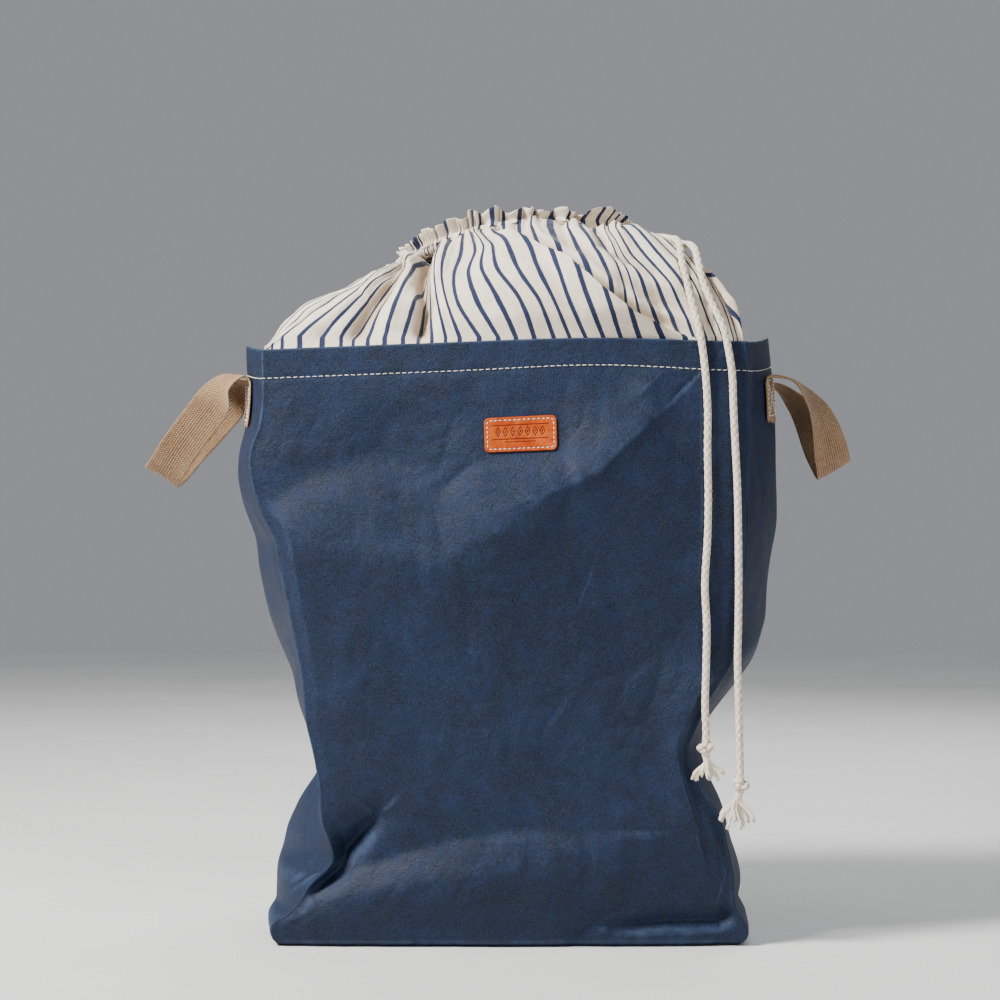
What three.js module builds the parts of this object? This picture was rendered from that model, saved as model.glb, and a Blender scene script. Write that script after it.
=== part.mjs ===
// A soft drawstring sack on a flat rectangular base. Millimetres, +Z up, +X right, front faces -Y.
// The walls are four coated-fabric panels. A striped cotton collar is sewn inside the rim and gathered
// by a drawcord in a casing, and a webbing handle is sewn to each side gusset.
import * as THREE from 'three';
import { mergeVertices } from 'three/addons/utils/BufferGeometryUtils.js';

// Driving dimensions
const CLOTH = 1.6; // wall fabric, its two plies together
const GAP = 0.35; // clearance between pieces that touch
const FLOOR_PLY = 2; // base panel thickness
const RIM_Z = 577; // top edge of the walls
const HEM_Z = 548; // stitch line of the turned rim
const HEM_ALLOWANCE = 4; // how far the hem reaches below its stitches
const FACING = 1.1; // turned-in hem fabric
const FACING_DEPTH = [CLOTH + GAP, CLOTH + GAP + FACING]; // in from the wall's outer face
const COTTON = 1.2; // collar fabric
const COLLAR_DEPTH = FACING_DEPTH[1] + GAP;
const COLLAR_TUCK = 30; // how far the collar reaches down inside the rim
const STITCH = 1; // height of a stitch row
const THREAD = 0.8; // how far a stitch row stands out
const SEAM_GAP = 0.5; // between the wall panels at each corner
const PER_SIDE = 12; // facets along each side of a section
const PANEL_ROWS = 13; // facets up a wall panel
const CORD_R = 3.75;
const TUBE_SIDES = 8;
const TUBE_STEP = 2.2; // length of a tube's facets, in cord diameters
const CASING_R = 6.3;
const CASING_BORE_R = 4.6;
const STRAP_W = 38;
const STRAP_T = 2.2;
const TAB_Y = 70; // centre of each handle foot, in front of and behind the middle
const TAB_Z = [499, 543];
const PIVOT_Z = 545.5;

// Wall sections from the floor to the rim. Lines: the left, right, front and back that the corners lie on.
// Bellies: how far the middle of each side, in the order of SIDES, stands out past its corners.
const SECTIONS = [
  { z: 0, lines: [-215, 220, -128, 128], bellies: [6, 8, 6, 10] },
  { z: 40, lines: [-214, 217, -132, 131], bellies: [10, 16, 9, 18] },
  { z: 105, lines: [-186, 204, -136, 132], bellies: [17, 16, 12, 26] },
  { z: 180, lines: [-184, 184, -134, 132], bellies: [14, 12, 12, -4] },
  { z: 260, lines: [-197, 208, -134, 133], bellies: [12, 12, 14, 16] },
  { z: 340, lines: [-212, 224, -135, 134], bellies: [13, 31, 15, 28] },
  { z: 420, lines: [-238, 228, -136, 135], bellies: [14, 38, 15, 20] },
  { z: 500, lines: [-242, 229, -136, 136], bellies: [11, 39, 12, 22] },
  { z: RIM_Z, lines: [-235, 226, -135, 135], bellies: [6, 34, 6, 27] },
];
const PANEL_LENGTH = 430; // about, along the front and the back
const GUSSET_LENGTH = 270; // about, along a side gusset
const SIDES = ['front', 'right', 'back', 'left']; // side n runs from corner n to corner n + 1

// The gathered mouth: an ellipse that dips to the left
const MOUTH = { x: 4, y: 6, a: 106, b: 42, z: 698, rise: 14, droop: 20 };
const EXIT = { from: 44, to: 360 }; // degrees round the mouth where the casing starts and ends
const COLLAR_STEP = 4.5; // how far the collar's top edge sits below the cord
const COLLAR_REACH = 6.6; // how far outside the cord line it sits
const COLLAR_DRAW_IN = { front: 0, right: 24, back: 0, left: 16 };
const FRILL = { height: 21, flare: 2, wave: 2.5, waves: 14, thick: 1.6 };

const materials = {
  wall: { color: 0x2a3c5c, roughness: 0.72 },
  cotton: { color: 0xd9cfc0, roughness: 0.9 },
  cord: { color: 0xe2d8c8, roughness: 0.95 },
  webbing: { color: 0xb9946f, roughness: 0.92 },
  leather: { color: 0xbb6a30, roughness: 0.5 },
  thread: { color: 0xeee6d8, roughness: 0.8 },
};

const group = new THREE.Group();

function signedVolume(geometry) {
  const p = geometry.getAttribute('position');
  const index = geometry.getIndex();
  const [a, b, c] = [new THREE.Vector3(), new THREE.Vector3(), new THREE.Vector3()];
  let sum = 0;
  for (let i = 0; i < index.count; i += 3) {
    a.fromBufferAttribute(p, index.getX(i));
    b.fromBufferAttribute(p, index.getX(i + 1));
    c.fromBufferAttribute(p, index.getX(i + 2));
    sum += a.dot(b.cross(c)) / 6;
  }
  return sum;
}

// Merges shared vertices and turns the faces outward.
function closed(geometry) {
  geometry.deleteAttribute('normal');
  geometry.deleteAttribute('uv');
  const merged = mergeVertices(geometry, 1e-3);
  if (signedVolume(merged) < 0) {
    const index = merged.getIndex();
    for (let i = 0; i < index.count; i += 3) {
      const second = index.getX(i + 1);
      index.setX(i + 1, index.getX(i + 2));
      index.setX(i + 2, second);
    }
  }
  merged.computeVertexNormals();
  return merged;
}

function add(name, material, geometry) {
  const look = new THREE.MeshStandardMaterial({ metalness: 0, ...materials[material] });
  const mesh = new THREE.Mesh(closed(geometry), look);
  mesh.name = name;
  group.add(mesh);
  return mesh;
}

function mapVertices(geometry, toPoint) {
  const p = geometry.getAttribute('position');
  for (let i = 0; i < p.count; i += 1) {
    const [x, y, z] = toPoint(p.getX(i), p.getY(i), p.getZ(i));
    p.setXYZ(i, x, y, z);
  }
  return geometry;
}

// A plate of nu x nv facets: toPoint(u, v, w) places each point, all three from 0 to 1, w through it.
function plate(nu, nv, toPoint) {
  const box = new THREE.BoxGeometry(1, 1, 1, nu, nv, 1);
  return mapVertices(box, (x, y, z) => toPoint(x + 0.5, y + 0.5, z + 0.5));
}

// A closed band: toPoint(u, v, w), where u goes once round.
function band(nu, nv, toPoint) {
  const profile = [new THREE.Vector2(1, 0), new THREE.Vector2(2, 0)];
  for (let i = 1; i <= nv; i += 1) profile.push(new THREE.Vector2(2, i / nv));
  for (let i = nv; i >= 0; i -= 1) profile.push(new THREE.Vector2(1, i / nv));
  const turned = new THREE.LatheGeometry(profile, nu);
  return mapVertices(turned, (x, y, z) => {
    const step = Math.round((Math.atan2(x, z) / (2 * Math.PI)) * nu);
    return toPoint(((step + nu) % nu) / nu, y, Math.hypot(x, z) - 1);
  });
}

function disc(radius, sides) {
  const points = [];
  for (let i = 0; i < sides; i += 1) {
    const turn = (2 * Math.PI * i) / sides;
    points.push(new THREE.Vector2(radius * Math.cos(turn), radius * Math.sin(turn)));
  }
  return points;
}

function tube(curve, radius, sides, steps, boreRadius = 0) {
  const section = new THREE.Shape(disc(radius, sides));
  if (boreRadius > 0) section.holes.push(new THREE.Path(disc(boreRadius, sides)));
  return new THREE.ExtrudeGeometry(section, { extrudePath: curve, steps, bevelEnabled: false });
}

const mix = (a, b, t) => a + (b - a) * t;

// A smooth value through the sections' own values.
function through(values, t) {
  const curve = (a, b, c, d, u) =>
    0.5 * (2 * b + (c - a) * u + (2 * a - 5 * b + 4 * c - d) * u * u + (3 * b - a - 3 * c + d) * u ** 3);
  const last = values.length - 1;
  const i = Math.min(Math.floor(t), last - 1);
  return curve(values[Math.max(i - 1, 0)], values[i], values[i + 1], values[Math.min(i + 2, last)], t - i);
}

function sectionAt(z) {
  const i = Math.max(0, SECTIONS.findLastIndex((s, n) => s.z <= z && n < SECTIONS.length - 1));
  const t = i + (z - SECTIONS[i].z) / (SECTIONS[i + 1].z - SECTIONS[i].z);
  const value = (pick) => through(SECTIONS.map(pick), t);
  const [left, right, front, back] = [0, 1, 2, 3].map((n) => value((s) => s.lines[n]));
  const bellies = SIDES.map((side, n) => value((s) => s.bellies[n]));
  return { corners: [[left, front], [right, front], [right, back], [left, back]], bellies };
}

// A point on the wall: s runs 0 to 4 round it from the front left corner, and depth goes inward.
function wallPoint(s, z, depth) {
  const { corners, bellies } = sectionAt(z);
  const turn = ((s % 4) + 4) % 4;
  const side = Math.floor(turn);
  const f = turn - side;
  const [ax, ay] = corners[side];
  const [bx, by] = corners[(side + 1) % 4];
  const along = [[1, 0], [0, 1], [-1, 0], [0, -1]][side];
  const inward = [-along[1], along[0]];
  const belly = bellies[side] * Math.sin(Math.PI * f);
  const slide = depth * (1 - 2 * f);
  return [
    mix(ax, bx, f) + inward[0] * (depth - belly) + along[0] * slide,
    mix(ay, by, f) + inward[1] * (depth - belly) + along[1] * slide,
    z,
  ];
}

// A point on the line of the gathered mouth, at a turn in radians from +X, and spread outward from it.
function mouthPoint(turn, spread) {
  const c = Math.cos(turn);
  return [
    MOUTH.x + (MOUTH.a + spread) * c,
    MOUTH.y + (MOUTH.b + spread) * Math.sin(turn),
    MOUTH.z + MOUTH.rise * c - MOUTH.droop * c * c,
  ];
}

// The gathering pulls the collar in from the gussets at the rim.
function collarDrawIn(s) {
  const turn = ((s % 4) + 4) % 4;
  const side = SIDES[Math.floor(turn)];
  return COLLAR_DRAW_IN[side] * Math.sin(Math.PI * (turn % 1));
}

// A point on the collar: s as on the wall, v from 0 at the rim to 1 at the mouth, depth inward.
function collarPoint(s, v, depth) {
  const turn = Math.PI * (1.25 + s / 2);
  const swing = (Math.PI / 2) * v;
  const low = wallPoint(s, RIM_Z, COLLAR_DEPTH + collarDrawIn(s) + depth);
  const high = mouthPoint(turn, COLLAR_REACH);
  const inwards = 1 - Math.cos(swing);
  return [
    mix(low[0], high[0], inwards),
    mix(low[1], high[1], inwards),
    mix(RIM_Z, high[2] - COLLAR_STEP, Math.sin(swing)) - depth * Math.sin(swing),
  ];
}

function buildWalls() {
  const names = { front: 'front_panel', right: 'right_gusset', back: 'back_panel', left: 'left_gusset' };
  const bottom = FLOOR_PLY + GAP;
  SIDES.forEach((side, n) => {
    const length = side === 'front' || side === 'back' ? PANEL_LENGTH : GUSSET_LENGTH;
    const edge = SEAM_GAP / 2 / length;
    add(names[side], 'wall', plate(PER_SIDE, PANEL_ROWS, (u, v, w) =>
      wallPoint(n + mix(edge, 1 - edge, u), mix(bottom, RIM_Z, v), w * CLOTH)));
  });
}

function buildBase() {
  const outline = [];
  for (let i = 0; i < 4 * PER_SIDE; i += 1) {
    const [x, y] = wallPoint(i / PER_SIDE, 0, 0);
    outline.push(new THREE.Vector2(x, y));
  }
  const options = { depth: FLOOR_PLY, bevelEnabled: false };
  add('base_panel', 'wall', new THREE.ExtrudeGeometry(new THREE.Shape(outline), options));
}

// The rim's turned-in hem and the stitch row that holds it.
function buildRim() {
  const round = 4 * PER_SIDE;
  add('rim_facing', 'wall', band(round, 1, (u, v, w) =>
    wallPoint(4 * u, mix(HEM_Z - HEM_ALLOWANCE, RIM_Z, v), mix(FACING_DEPTH[0], FACING_DEPTH[1], w))));
  add('rim_thread', 'thread', band(round, 1, (u, v, w) =>
    wallPoint(4 * u, HEM_Z + (v - 0.5) * STITCH, -2 * GAP - THREAD * w)));
}

function buildCollar() {
  const half = 0.0025; // half of the side seam's gap, as a share of a side
  const heights = [-1, 0, 0.14, 0.3, 0.46, 0.62, 0.8, 1]; // below 0 is the part inside the rim
  const rows = heights.length - 1;
  const point = (s, v, depth) => {
    if (v > 0) return collarPoint(s, v, depth);
    const drawIn = collarDrawIn(s) * (1 + v);
    const [x, y] = wallPoint(s, RIM_Z, COLLAR_DEPTH + drawIn + depth);
    return [x, y, RIM_Z + v * COLLAR_TUCK];
  };
  [['collar_front', -0.5], ['collar_back', 1.5]].forEach(([name, start]) => {
    add(name, 'cotton', plate(2 * PER_SIDE, rows, (u, v, w) =>
      point(start + mix(half, 2 - half, u), heights[Math.round(v * rows)], w * COTTON)));
  });
}

class MouthCurve extends THREE.Curve {
  getPoint(t, target = new THREE.Vector3()) {
    const turn = THREE.MathUtils.degToRad(mix(EXIT.from, EXIT.to, t));
    return target.set(...mouthPoint(turn, 0));
  }
}

// The channel that holds the cord, the cord in it, and the ruffle that stands above them.
function buildMouth() {
  const line = new MouthCurve();
  const steps = 34;
  add('mouth_casing', 'cotton', tube(line, CASING_R, TUBE_SIDES, steps, CASING_BORE_R));
  add('drawcord_ring', 'cord', tube(line, CORD_R, TUBE_SIDES, steps));
  const lift = CASING_R + GAP;
  add('mouth_frill', 'cotton', band(4 * FRILL.waves, 2, (u, v, w) => {
    const turn = 2 * Math.PI * u;
    const flare = FRILL.flare + v * (FRILL.flare + FRILL.wave * Math.sin(FRILL.waves * turn));
    const [x, y, z] = mouthPoint(turn, flare - FRILL.thick * w);
    return [x, y, z + lift + v * FRILL.height];
  }));
}

const toCurve = (points) => new THREE.CatmullRomCurve3(points.map((p) => new THREE.Vector3(...p)));

// One drawcord leaves the casing at both of its ends. Each tail crosses the right shoulder of the collar
// and hangs down the front. It is two solids that meet where it turns over the rim.
const TAILS = {
  inner: {
    upper: [
      [110, 6.4, 692], [110.6, 13, 692.3], [114, 18.6, 692.8], [120, 21.6, 693], [127.5, 20.5, 692.4],
      [134, 14.5, 691.2], [139, 4, 690], [144, -10, 689], [149.5, -26, 687.2], [154.5, -44, 684.8],
      [159, -63, 681.6], [162.5, -81.5, 679], [165, -98.2, 672], [166.3, -113.8, 654.4],
      [169.3, -124.2, 637], [173.2, -131.6, 619], [177.5, -136.6, 602], [181, -140.6, 587],
      [184, -142.5, 568.2],
    ],
    lower: [
      [184, -142.5, 567.8], [186.5, -143.6, 545], [188.5, -144.5, 510], [188.3, -145, 475],
      [189, -145, 430], [188.3, -145, 390], [185.8, -145, 345], [187.5, -145, 306], [187, -145, 270],
      [186, -145, 232], [187, -145, 196.4],
    ],
    knot: [186.5, -145, 190.2],
    spread: 4,
  },
  outer: {
    upper: [
      [80.6, 35.1, 697.6], [89, 32, 696.4], [99, 30.2, 695.4], [111, 30.5, 694.3], [124, 31, 693],
      [137, 28.5, 691], [147, 20, 688.8], [154.5, 7, 686.6], [160, -9, 684.4], [165, -27, 682],
      [169.5, -46, 679], [173.2, -65, 675.8], [176.5, -83.5, 673.5], [180, -101, 666.5],
      [182.5, -115.5, 651.5], [186, -125, 633.5], [192, -131.8, 617], [199, -136.8, 601], [204.5, -140.6, 587],
      [208.5, -142.5, 568.2],
    ],
    lower: [
      [208.5, -142.5, 567.8], [211.8, -143.6, 545], [213, -144.5, 512], [214.5, -145, 480],
      [216.5, -145, 440], [217.5, -145, 395], [217.8, -145, 350], [217.5, -145, 310], [216.8, -145, 275],
      [217.6, -145, 238], [218.5, -145, 200], [219.5, -145, 161.4],
    ],
    knot: [219.5, -145, 155.2],
    spread: -6,
  },
};
const KNOT = { half: [8.5, 6.5, 5.9], sides: 12 };
const TASSEL = { length: 32, neck: 3, end: 16, flat: 0.5, sides: 12 };

function buildTails() {
  Object.entries(TAILS).forEach(([name, tail]) => {
    const steps = (points) => Math.round(toCurve(points).getLength() / (2 * CORD_R * TUBE_STEP));
    ['upper', 'lower'].forEach((part) => {
      const points = tail[part];
      add(`${name}_tail_${part}`, 'cord', tube(toCurve(points), CORD_R, TUBE_SIDES, steps(points)));
    });
    const knot = new THREE.SphereGeometry(1, KNOT.sides, KNOT.sides / 2);
    knot.rotateX(Math.PI / 2);
    knot.scale(...KNOT.half);
    add(`${name}_knot`, 'cord', knot).position.set(...tail.knot);
    buildTassel(name, tail);
  });
}

// The cord's frayed end fans out under the knot, to one side.
function buildTassel(name, tail) {
  const profile = [
    [0, 0], [TASSEL.neck, 0], [TASSEL.neck, -4], [TASSEL.end * 0.55, -TASSEL.length * 0.5],
    [TASSEL.end, -TASSEL.length * 0.92], [TASSEL.end * 0.8, -TASSEL.length], [0, -TASSEL.length * 0.96],
  ].map(([r, z]) => new THREE.Vector2(r, z));
  const fan = new THREE.LatheGeometry(profile, TASSEL.sides);
  fan.rotateX(Math.PI / 2);
  mapVertices(fan, (x, y, z) => [x - (tail.spread * z) / TASSEL.length, y * TASSEL.flat, z]);
  const top = tail.knot[2] - KNOT.half[2] - GAP;
  add(`${name}_tassel`, 'cord', fan).position.set(tail.knot[0], tail.knot[1], top);
}

// Half of each handle loop, from its front foot to the far end, where the webbing turns back. Each entry
// is a point of the webbing's middle line and the direction across it, from its lower to its upper edge.
const LOOPS = {
  left: [
    [[-261.2, -TAB_Y, PIVOT_Z], [0, 1, 0]],
    [[-274, -69, 541], [-0.35, 0.9, 0.25]],
    [[-293, -58, 517], [-0.8, 0, 0.6]],
    [[-325, -37, 478], [-0.88, 0, 0.45]],
    [[-343, -16, 454], [-0.85, 0, 0.52]],
    [[-349, 0, 449], [-0.85, 0, 0.525]],
  ],
  right: [
    [[260, -TAB_Y, PIVOT_Z], [0, 1, 0]],
    [[276, -69.5, 543], [0.05, 1, 0.05]],
    [[293, -63, 527], [0.3, 0.92, 0.2]],
    [[308, -50, 505], [0.6, 0.7, 0.3]],
    [[320, -27, 475], [0.86, 0.3, 0.4]],
    [[326.8, 0, 456], [0.858, 0, 0.514]],
  ],
};
const FEET = { front: [0.172, 0.312], rear: [0.688, 0.828] }; // as shares of the gusset's depth
const FOOT_GAP = 0.5; // between a foot and the gusset
const FOOT_ROW = { margin: 5, wide: 1.1, thick: 0.6, gap: 0.45 }; // the box of stitches on a foot
const LOOP_STEPS = 30;

function buildHandle(side) {
  const half = LOOPS[side];
  const mirror = ([[x, y, z], [a, b, c]]) => [[x, -y, z], [a, -b, c]];
  const whole = [...half, ...half.slice(0, -1).reverse().map(mirror)];
  const middle = toCurve(whole.map(([point]) => point));
  const across = toCurve(whole.map(([, direction]) => direction));
  add(`${side}_handle`, 'webbing', plate(LOOP_STEPS, 1, (u, v, w) => {
    const run = middle.getTangent(u);
    const wide = across.getPoint(u).projectOnPlane(run).normalize();
    const normal = new THREE.Vector3().crossVectors(run, wide);
    const point = middle.getPoint(u);
    point.addScaledVector(wide, (v - 0.5) * STRAP_W);
    point.addScaledVector(normal, (w - 0.5) * STRAP_T);
    return point.toArray();
  }));
  Object.entries(FEET).forEach(([place, [from, to]]) => buildFoot(side, place, from, to));
}

// A handle foot: the webbing's end, sewn flat on the gusset with a box of stitches.
function buildFoot(side, place, from, to) {
  const at = (share, z, depth) => wallPoint(side === 'right' ? 1 + share : 4 - share, z, depth);
  add(`${side}_${place}_foot`, 'webbing', plate(2, 2, (u, v, w) =>
    at(mix(from, to, u), mix(TAB_Z[0], TAB_Z[1], v), -FOOT_GAP - STRAP_T * w)));
  const inset = FOOT_ROW.margin / GUSSET_LENGTH;
  const row = FOOT_ROW.wide / GUSSET_LENGTH;
  const corner = (extra, rise) => ([u, v]) => new THREE.Vector2(
    mix(from + inset + extra, to - inset - extra, u),
    mix(TAB_Z[0] + FOOT_ROW.margin + rise, TAB_Z[1] - FOOT_ROW.margin - rise, v),
  );
  const outline = [[0, 0], [0.5, 0], [1, 0], [1, 1], [0.5, 1], [0, 1]];
  const box = new THREE.Shape(outline.map(corner(0, 0)));
  box.holes.push(new THREE.Path([...outline].reverse().map(corner(row, FOOT_ROW.wide))));
  const face = FOOT_GAP + STRAP_T + FOOT_ROW.gap;
  const stitched = new THREE.ExtrudeGeometry(box, { depth: FOOT_ROW.thick, bevelEnabled: false });
  mapVertices(stitched, (share, z, w) => at(share, z, -face - w));
  add(`${side}_${place}_foot_thread`, 'thread', stitched);
}

const LABEL = { x: 11, z: 487.5, width: 69, height: 33, corner: 5, thick: 1.6, tilt: 1.6, standOff: 0.7 };
const LABEL_ROW = { inset: 3, wide: 0.8, corner: 3, thick: 0.6 };

function roundedRectangle(width, height, corner, Kind) {
  const outline = new Kind();
  const [x, y] = [width / 2 - corner, height / 2 - corner];
  outline.absarc(x, y, corner, 0, Math.PI / 2);
  outline.absarc(-x, y, corner, Math.PI / 2, Math.PI);
  outline.absarc(-x, -y, corner, Math.PI, 1.5 * Math.PI);
  outline.absarc(x, -y, corner, 1.5 * Math.PI, 2 * Math.PI);
  return outline;
}

// The leather patch lies flat on the front panel, sewn round its edge.
function buildLabel() {
  const [[left], [right]] = sectionAt(LABEL.z).corners;
  const s = (LABEL.x - left) / (right - left);
  const [top, bottom] = [1, -1].map((way) => wallPoint(s, LABEL.z + (way * LABEL.height) / 2, 0));
  const lean = Math.atan2(top[1] - bottom[1], LABEL.height);
  const patch = new THREE.ExtrudeGeometry(
    roundedRectangle(LABEL.width, LABEL.height, LABEL.corner, THREE.Shape),
    { depth: LABEL.thick, bevelEnabled: false, curveSegments: 4 },
  );
  const row = (step, Kind) => {
    const inset = LABEL_ROW.inset + step;
    return roundedRectangle(LABEL.width - 2 * inset, LABEL.height - 2 * inset, LABEL_ROW.corner - step, Kind);
  };
  const seam = row(0, THREE.Shape);
  seam.holes.push(row(LABEL_ROW.wide, THREE.Path));
  const options = { depth: LABEL_ROW.thick, bevelEnabled: false, curveSegments: 2 };
  const thread = new THREE.ExtrudeGeometry(seam, options);
  thread.translate(0, 0, LABEL.thick + GAP);
  const holder = new THREE.Group();
  holder.add(add('label_patch', 'leather', patch));
  holder.add(add('label_thread', 'thread', thread));
  holder.position.set(LABEL.x, (top[1] + bottom[1]) / 2 - LABEL.standOff, LABEL.z);
  holder.rotation.set(Math.PI / 2 - lean, 0, 0);
  holder.rotateZ(THREE.MathUtils.degToRad(LABEL.tilt));
  group.add(holder);
}

buildWalls();
buildBase();
buildRim();
buildCollar();
buildMouth();
buildTails();
buildHandle('left');
buildHandle('right');
buildLabel();

export default group;
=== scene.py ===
import math

import bpy
import numpy as np
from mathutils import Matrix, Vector


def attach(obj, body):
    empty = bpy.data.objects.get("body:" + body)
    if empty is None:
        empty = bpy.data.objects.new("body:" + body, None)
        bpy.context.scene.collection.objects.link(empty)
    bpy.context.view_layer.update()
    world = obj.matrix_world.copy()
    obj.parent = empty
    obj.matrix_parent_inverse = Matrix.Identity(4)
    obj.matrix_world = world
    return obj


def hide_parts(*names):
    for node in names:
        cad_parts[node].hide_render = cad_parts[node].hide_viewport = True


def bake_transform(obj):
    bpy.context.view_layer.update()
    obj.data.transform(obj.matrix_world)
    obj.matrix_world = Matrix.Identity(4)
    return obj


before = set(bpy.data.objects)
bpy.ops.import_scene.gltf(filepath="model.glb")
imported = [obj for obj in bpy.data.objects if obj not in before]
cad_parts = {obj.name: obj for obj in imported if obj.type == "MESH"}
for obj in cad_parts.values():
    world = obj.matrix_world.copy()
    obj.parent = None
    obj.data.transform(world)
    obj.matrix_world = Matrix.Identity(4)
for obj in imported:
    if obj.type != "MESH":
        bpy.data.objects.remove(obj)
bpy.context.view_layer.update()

# A soft drawstring sack. Lengths below are millimetres, and each mesh is scaled to metres as it is made.
MM = 0.001

# Driving dimensions, as in the design
RIM_Z = 577
HEM_DROP = 28.5  # stitch line below the rim
CLOTH = 1.4
COLLAR_CLOTH = 0.8
FACING_DEPTH = 1.95
COLLAR_DEPTH = 3.4
COLLAR_TUCK = 30
CORD_R = 3.75
STRAP_W = 38
STRAP_T = 2.2
TAB_Y = 70
TAB_Z = (499, 543)
PIVOT_Z = 545.5
MOUTH = {"x": 4, "y": 6, "a": 106, "b": 42, "z": 698, "rise": 14, "droop": 20}
CASING_EXIT = (44, 360)  # degrees round the mouth where the casing starts and ends
COLLAR_REACH = 6.6
COLLAR_STEP = -1.0
DRAW_IN = (0, 24, 0, 16)  # front, right, back, left
SIDE_LENGTH = np.array([455.0, 270.0, 455.0, 270.0])  # front, right, back, left
BASE_ROUND = 7.0  # how softly the walls turn under
FOOT_SHARE = 0.242  # where a handle's front foot stands, as a share of the gusset's width
PATCH_GAP = 0.35  # between the leather patch and the cloth

# Where the four upright edges stand, as (height, x): front left, front right, back right, back left
EDGE_X = (
    [(0, -222), (10, -227), (21, -225), (32, -210), (61, -187), (79, -169), (100, -171), (118, -177),
     (156, -181), (184, -186), (215, -193), (255, -196), (286, -202), (318, -209), (358, -217), (389, -223),
     (405, -231), (424, -239), (475, -246), (500, -238), (577, -235)],
    [(0, 222), (9, 228), (20, 226), (32, 218), (69, 213), (95, 208), (128, 198), (150, 185), (184, 171),
     (215, 181), (245, 196), (268, 210), (300, 216), (345, 223), (420, 227), (500, 228), (577, 226)],
    [(0, 220), (40, 217), (105, 206), (180, 184), (225, 196), (285, 214), (345, 224), (420, 228), (500, 229),
     (577, 226)],
    [(0, -216), (40, -216), (105, -208), (170, -187), (245, -206), (325, -221), (420, -237), (500, -241),
     (577, -236)],
)
FRONT_Y = [(0, -128), (40, -132), (105, -136), (180, -134), (260, -134), (340, -135), (420, -136),
           (500, -136), (577, -135)]
BACK_Y = [(0, 128), (40, 131), (105, 132), (180, 132), (260, 133), (340, 134), (420, 135), (500, 136),
          (577, 135)]
# How far the middle of each side stands out, as (height, distance): front, right, back, left
BELLY = (
    [(0, 5), (40, 10), (105, 15), (180, 13), (260, 12), (340, 13), (420, 14), (500, 11), (577, 6)],
    [(0, 10), (44, 17), (104, 12), (150, 16), (184, 23), (245, 32), (300, 33), (345, 33), (420, 38),
     (500, 38), (577, 34)],
    [(0, 6), (40, 9), (105, 12), (180, 12), (260, 14), (340, 15), (420, 15), (500, 12), (577, 6)],
    [(0, 10), (40, 24), (84, 34), (120, 22), (164, 10), (245, 20), (325, 27), (425, 21), (500, 22),
     (577, 27)],
)
# How far the rim stands over or under its mean height, round the sack from the front left corner
RIM_RISE = [(0, -8), (0.35, -2), (0.7, 3), (1, 0), (1.5, 12), (2, 4), (2.5, 0), (3, -2), (3.5, 3), (4, -8)]

# The drawcord's two tails, from the casing over the right shoulder and the front rim, and down
TAILS = {
    "inner": {
        "upper": [
            (110, 6.4, 692), (110.6, 13, 692.3), (114, 18.6, 692.8), (120, 21.6, 693), (127.5, 20.5, 692.4),
            (134, 14.5, 691.2), (139, 4, 690), (144, -10, 689), (149.5, -26, 687.2), (154.5, -44, 684.8),
            (159, -63, 681.6), (162.5, -81.5, 679), (165, -98.2, 672), (166.3, -113.8, 654.4),
            (169.3, -124.2, 637), (173.2, -131.6, 619), (177.5, -136.6, 602), (181, -140.6, 587),
            (184, -142.5, 568.2),
        ],
        "lower": [
            (184, -142.5, 567.8), (186.5, -143.6, 545), (188.5, -144.5, 510), (188.3, -145, 475),
            (189, -145, 430), (188.3, -145, 390), (185.8, -145, 345), (187.5, -145, 306), (187, -145, 270),
            (186, -145, 232), (187, -145, 196.4),
        ],
        "knot": (186.5, -145, 190.2),
        "spread": 4,
        "joint": (184, -146.45, 568),
    },
    "outer": {
        "upper": [
            (80.6, 35.1, 697.6), (89, 32, 696.4), (99, 30.2, 695.4), (111, 30.5, 694.3), (124, 31, 693),
            (137, 28.5, 691), (147, 20, 688.8), (154.5, 7, 686.6), (160, -9, 684.4), (165, -27, 682),
            (169.5, -46, 679), (173.2, -65, 675.8), (176.5, -83.5, 673.5), (180, -101, 666.5),
            (182.5, -115.5, 651.5), (186, -125, 633.5), (192, -131.8, 617), (199, -136.8, 601),
            (204.5, -140.6, 587), (208.5, -142.5, 568.2),
        ],
        "lower": [
            (208.5, -142.5, 567.8), (211.8, -143.6, 545), (213, -144.5, 512), (214.5, -145, 480),
            (216.5, -145, 440), (217.5, -145, 395), (217.8, -145, 350), (217.5, -145, 310),
            (216.8, -145, 275), (217.6, -145, 238), (218.5, -145, 200), (219.5, -145, 161.4),
        ],
        "knot": (219.5, -145, 155.2),
        "spread": -6,
        "joint": (208.5, -146.45, 568),
    },
}
KNOT_HALF = (8.5, 6.5, 5.9)

# Half of each handle loop, from its front foot to the far end: (point, direction across the webbing)
LOOPS = {
    "left": [
        ((-261.2, -TAB_Y, PIVOT_Z), (0, 1, 0)), ((-274, -69, 541), (-0.35, 0.9, 0.25)),
        ((-293, -58, 517), (-0.8, 0, 0.6)), ((-325, -37, 478), (-0.88, 0, 0.45)),
        ((-343, -16, 454), (-0.85, 0, 0.52)), ((-349, 0, 449), (-0.85, 0, 0.525)),
    ],
    "right": [
        ((260, -TAB_Y, PIVOT_Z), (0, 1, 0)), ((276, -69.5, 543), (0.05, 1, 0.05)),
        ((293, -63, 527), (0.3, 0.92, 0.2)), ((308, -50, 505), (0.6, 0.7, 0.3)),
        ((320, -27, 475), (0.86, 0.3, 0.4)), ((326.8, 0, 456), (0.858, 0, 0.514)),
    ],
}
LABEL = {"x": 11, "z": 487.5, "width": 69, "height": 33, "corner": 5, "thick": 1.8, "tilt": 1.6}


# ---------------------------------------------------------------- numbers
def mix(a, b, t):
    return a + (b - a) * t


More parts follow.
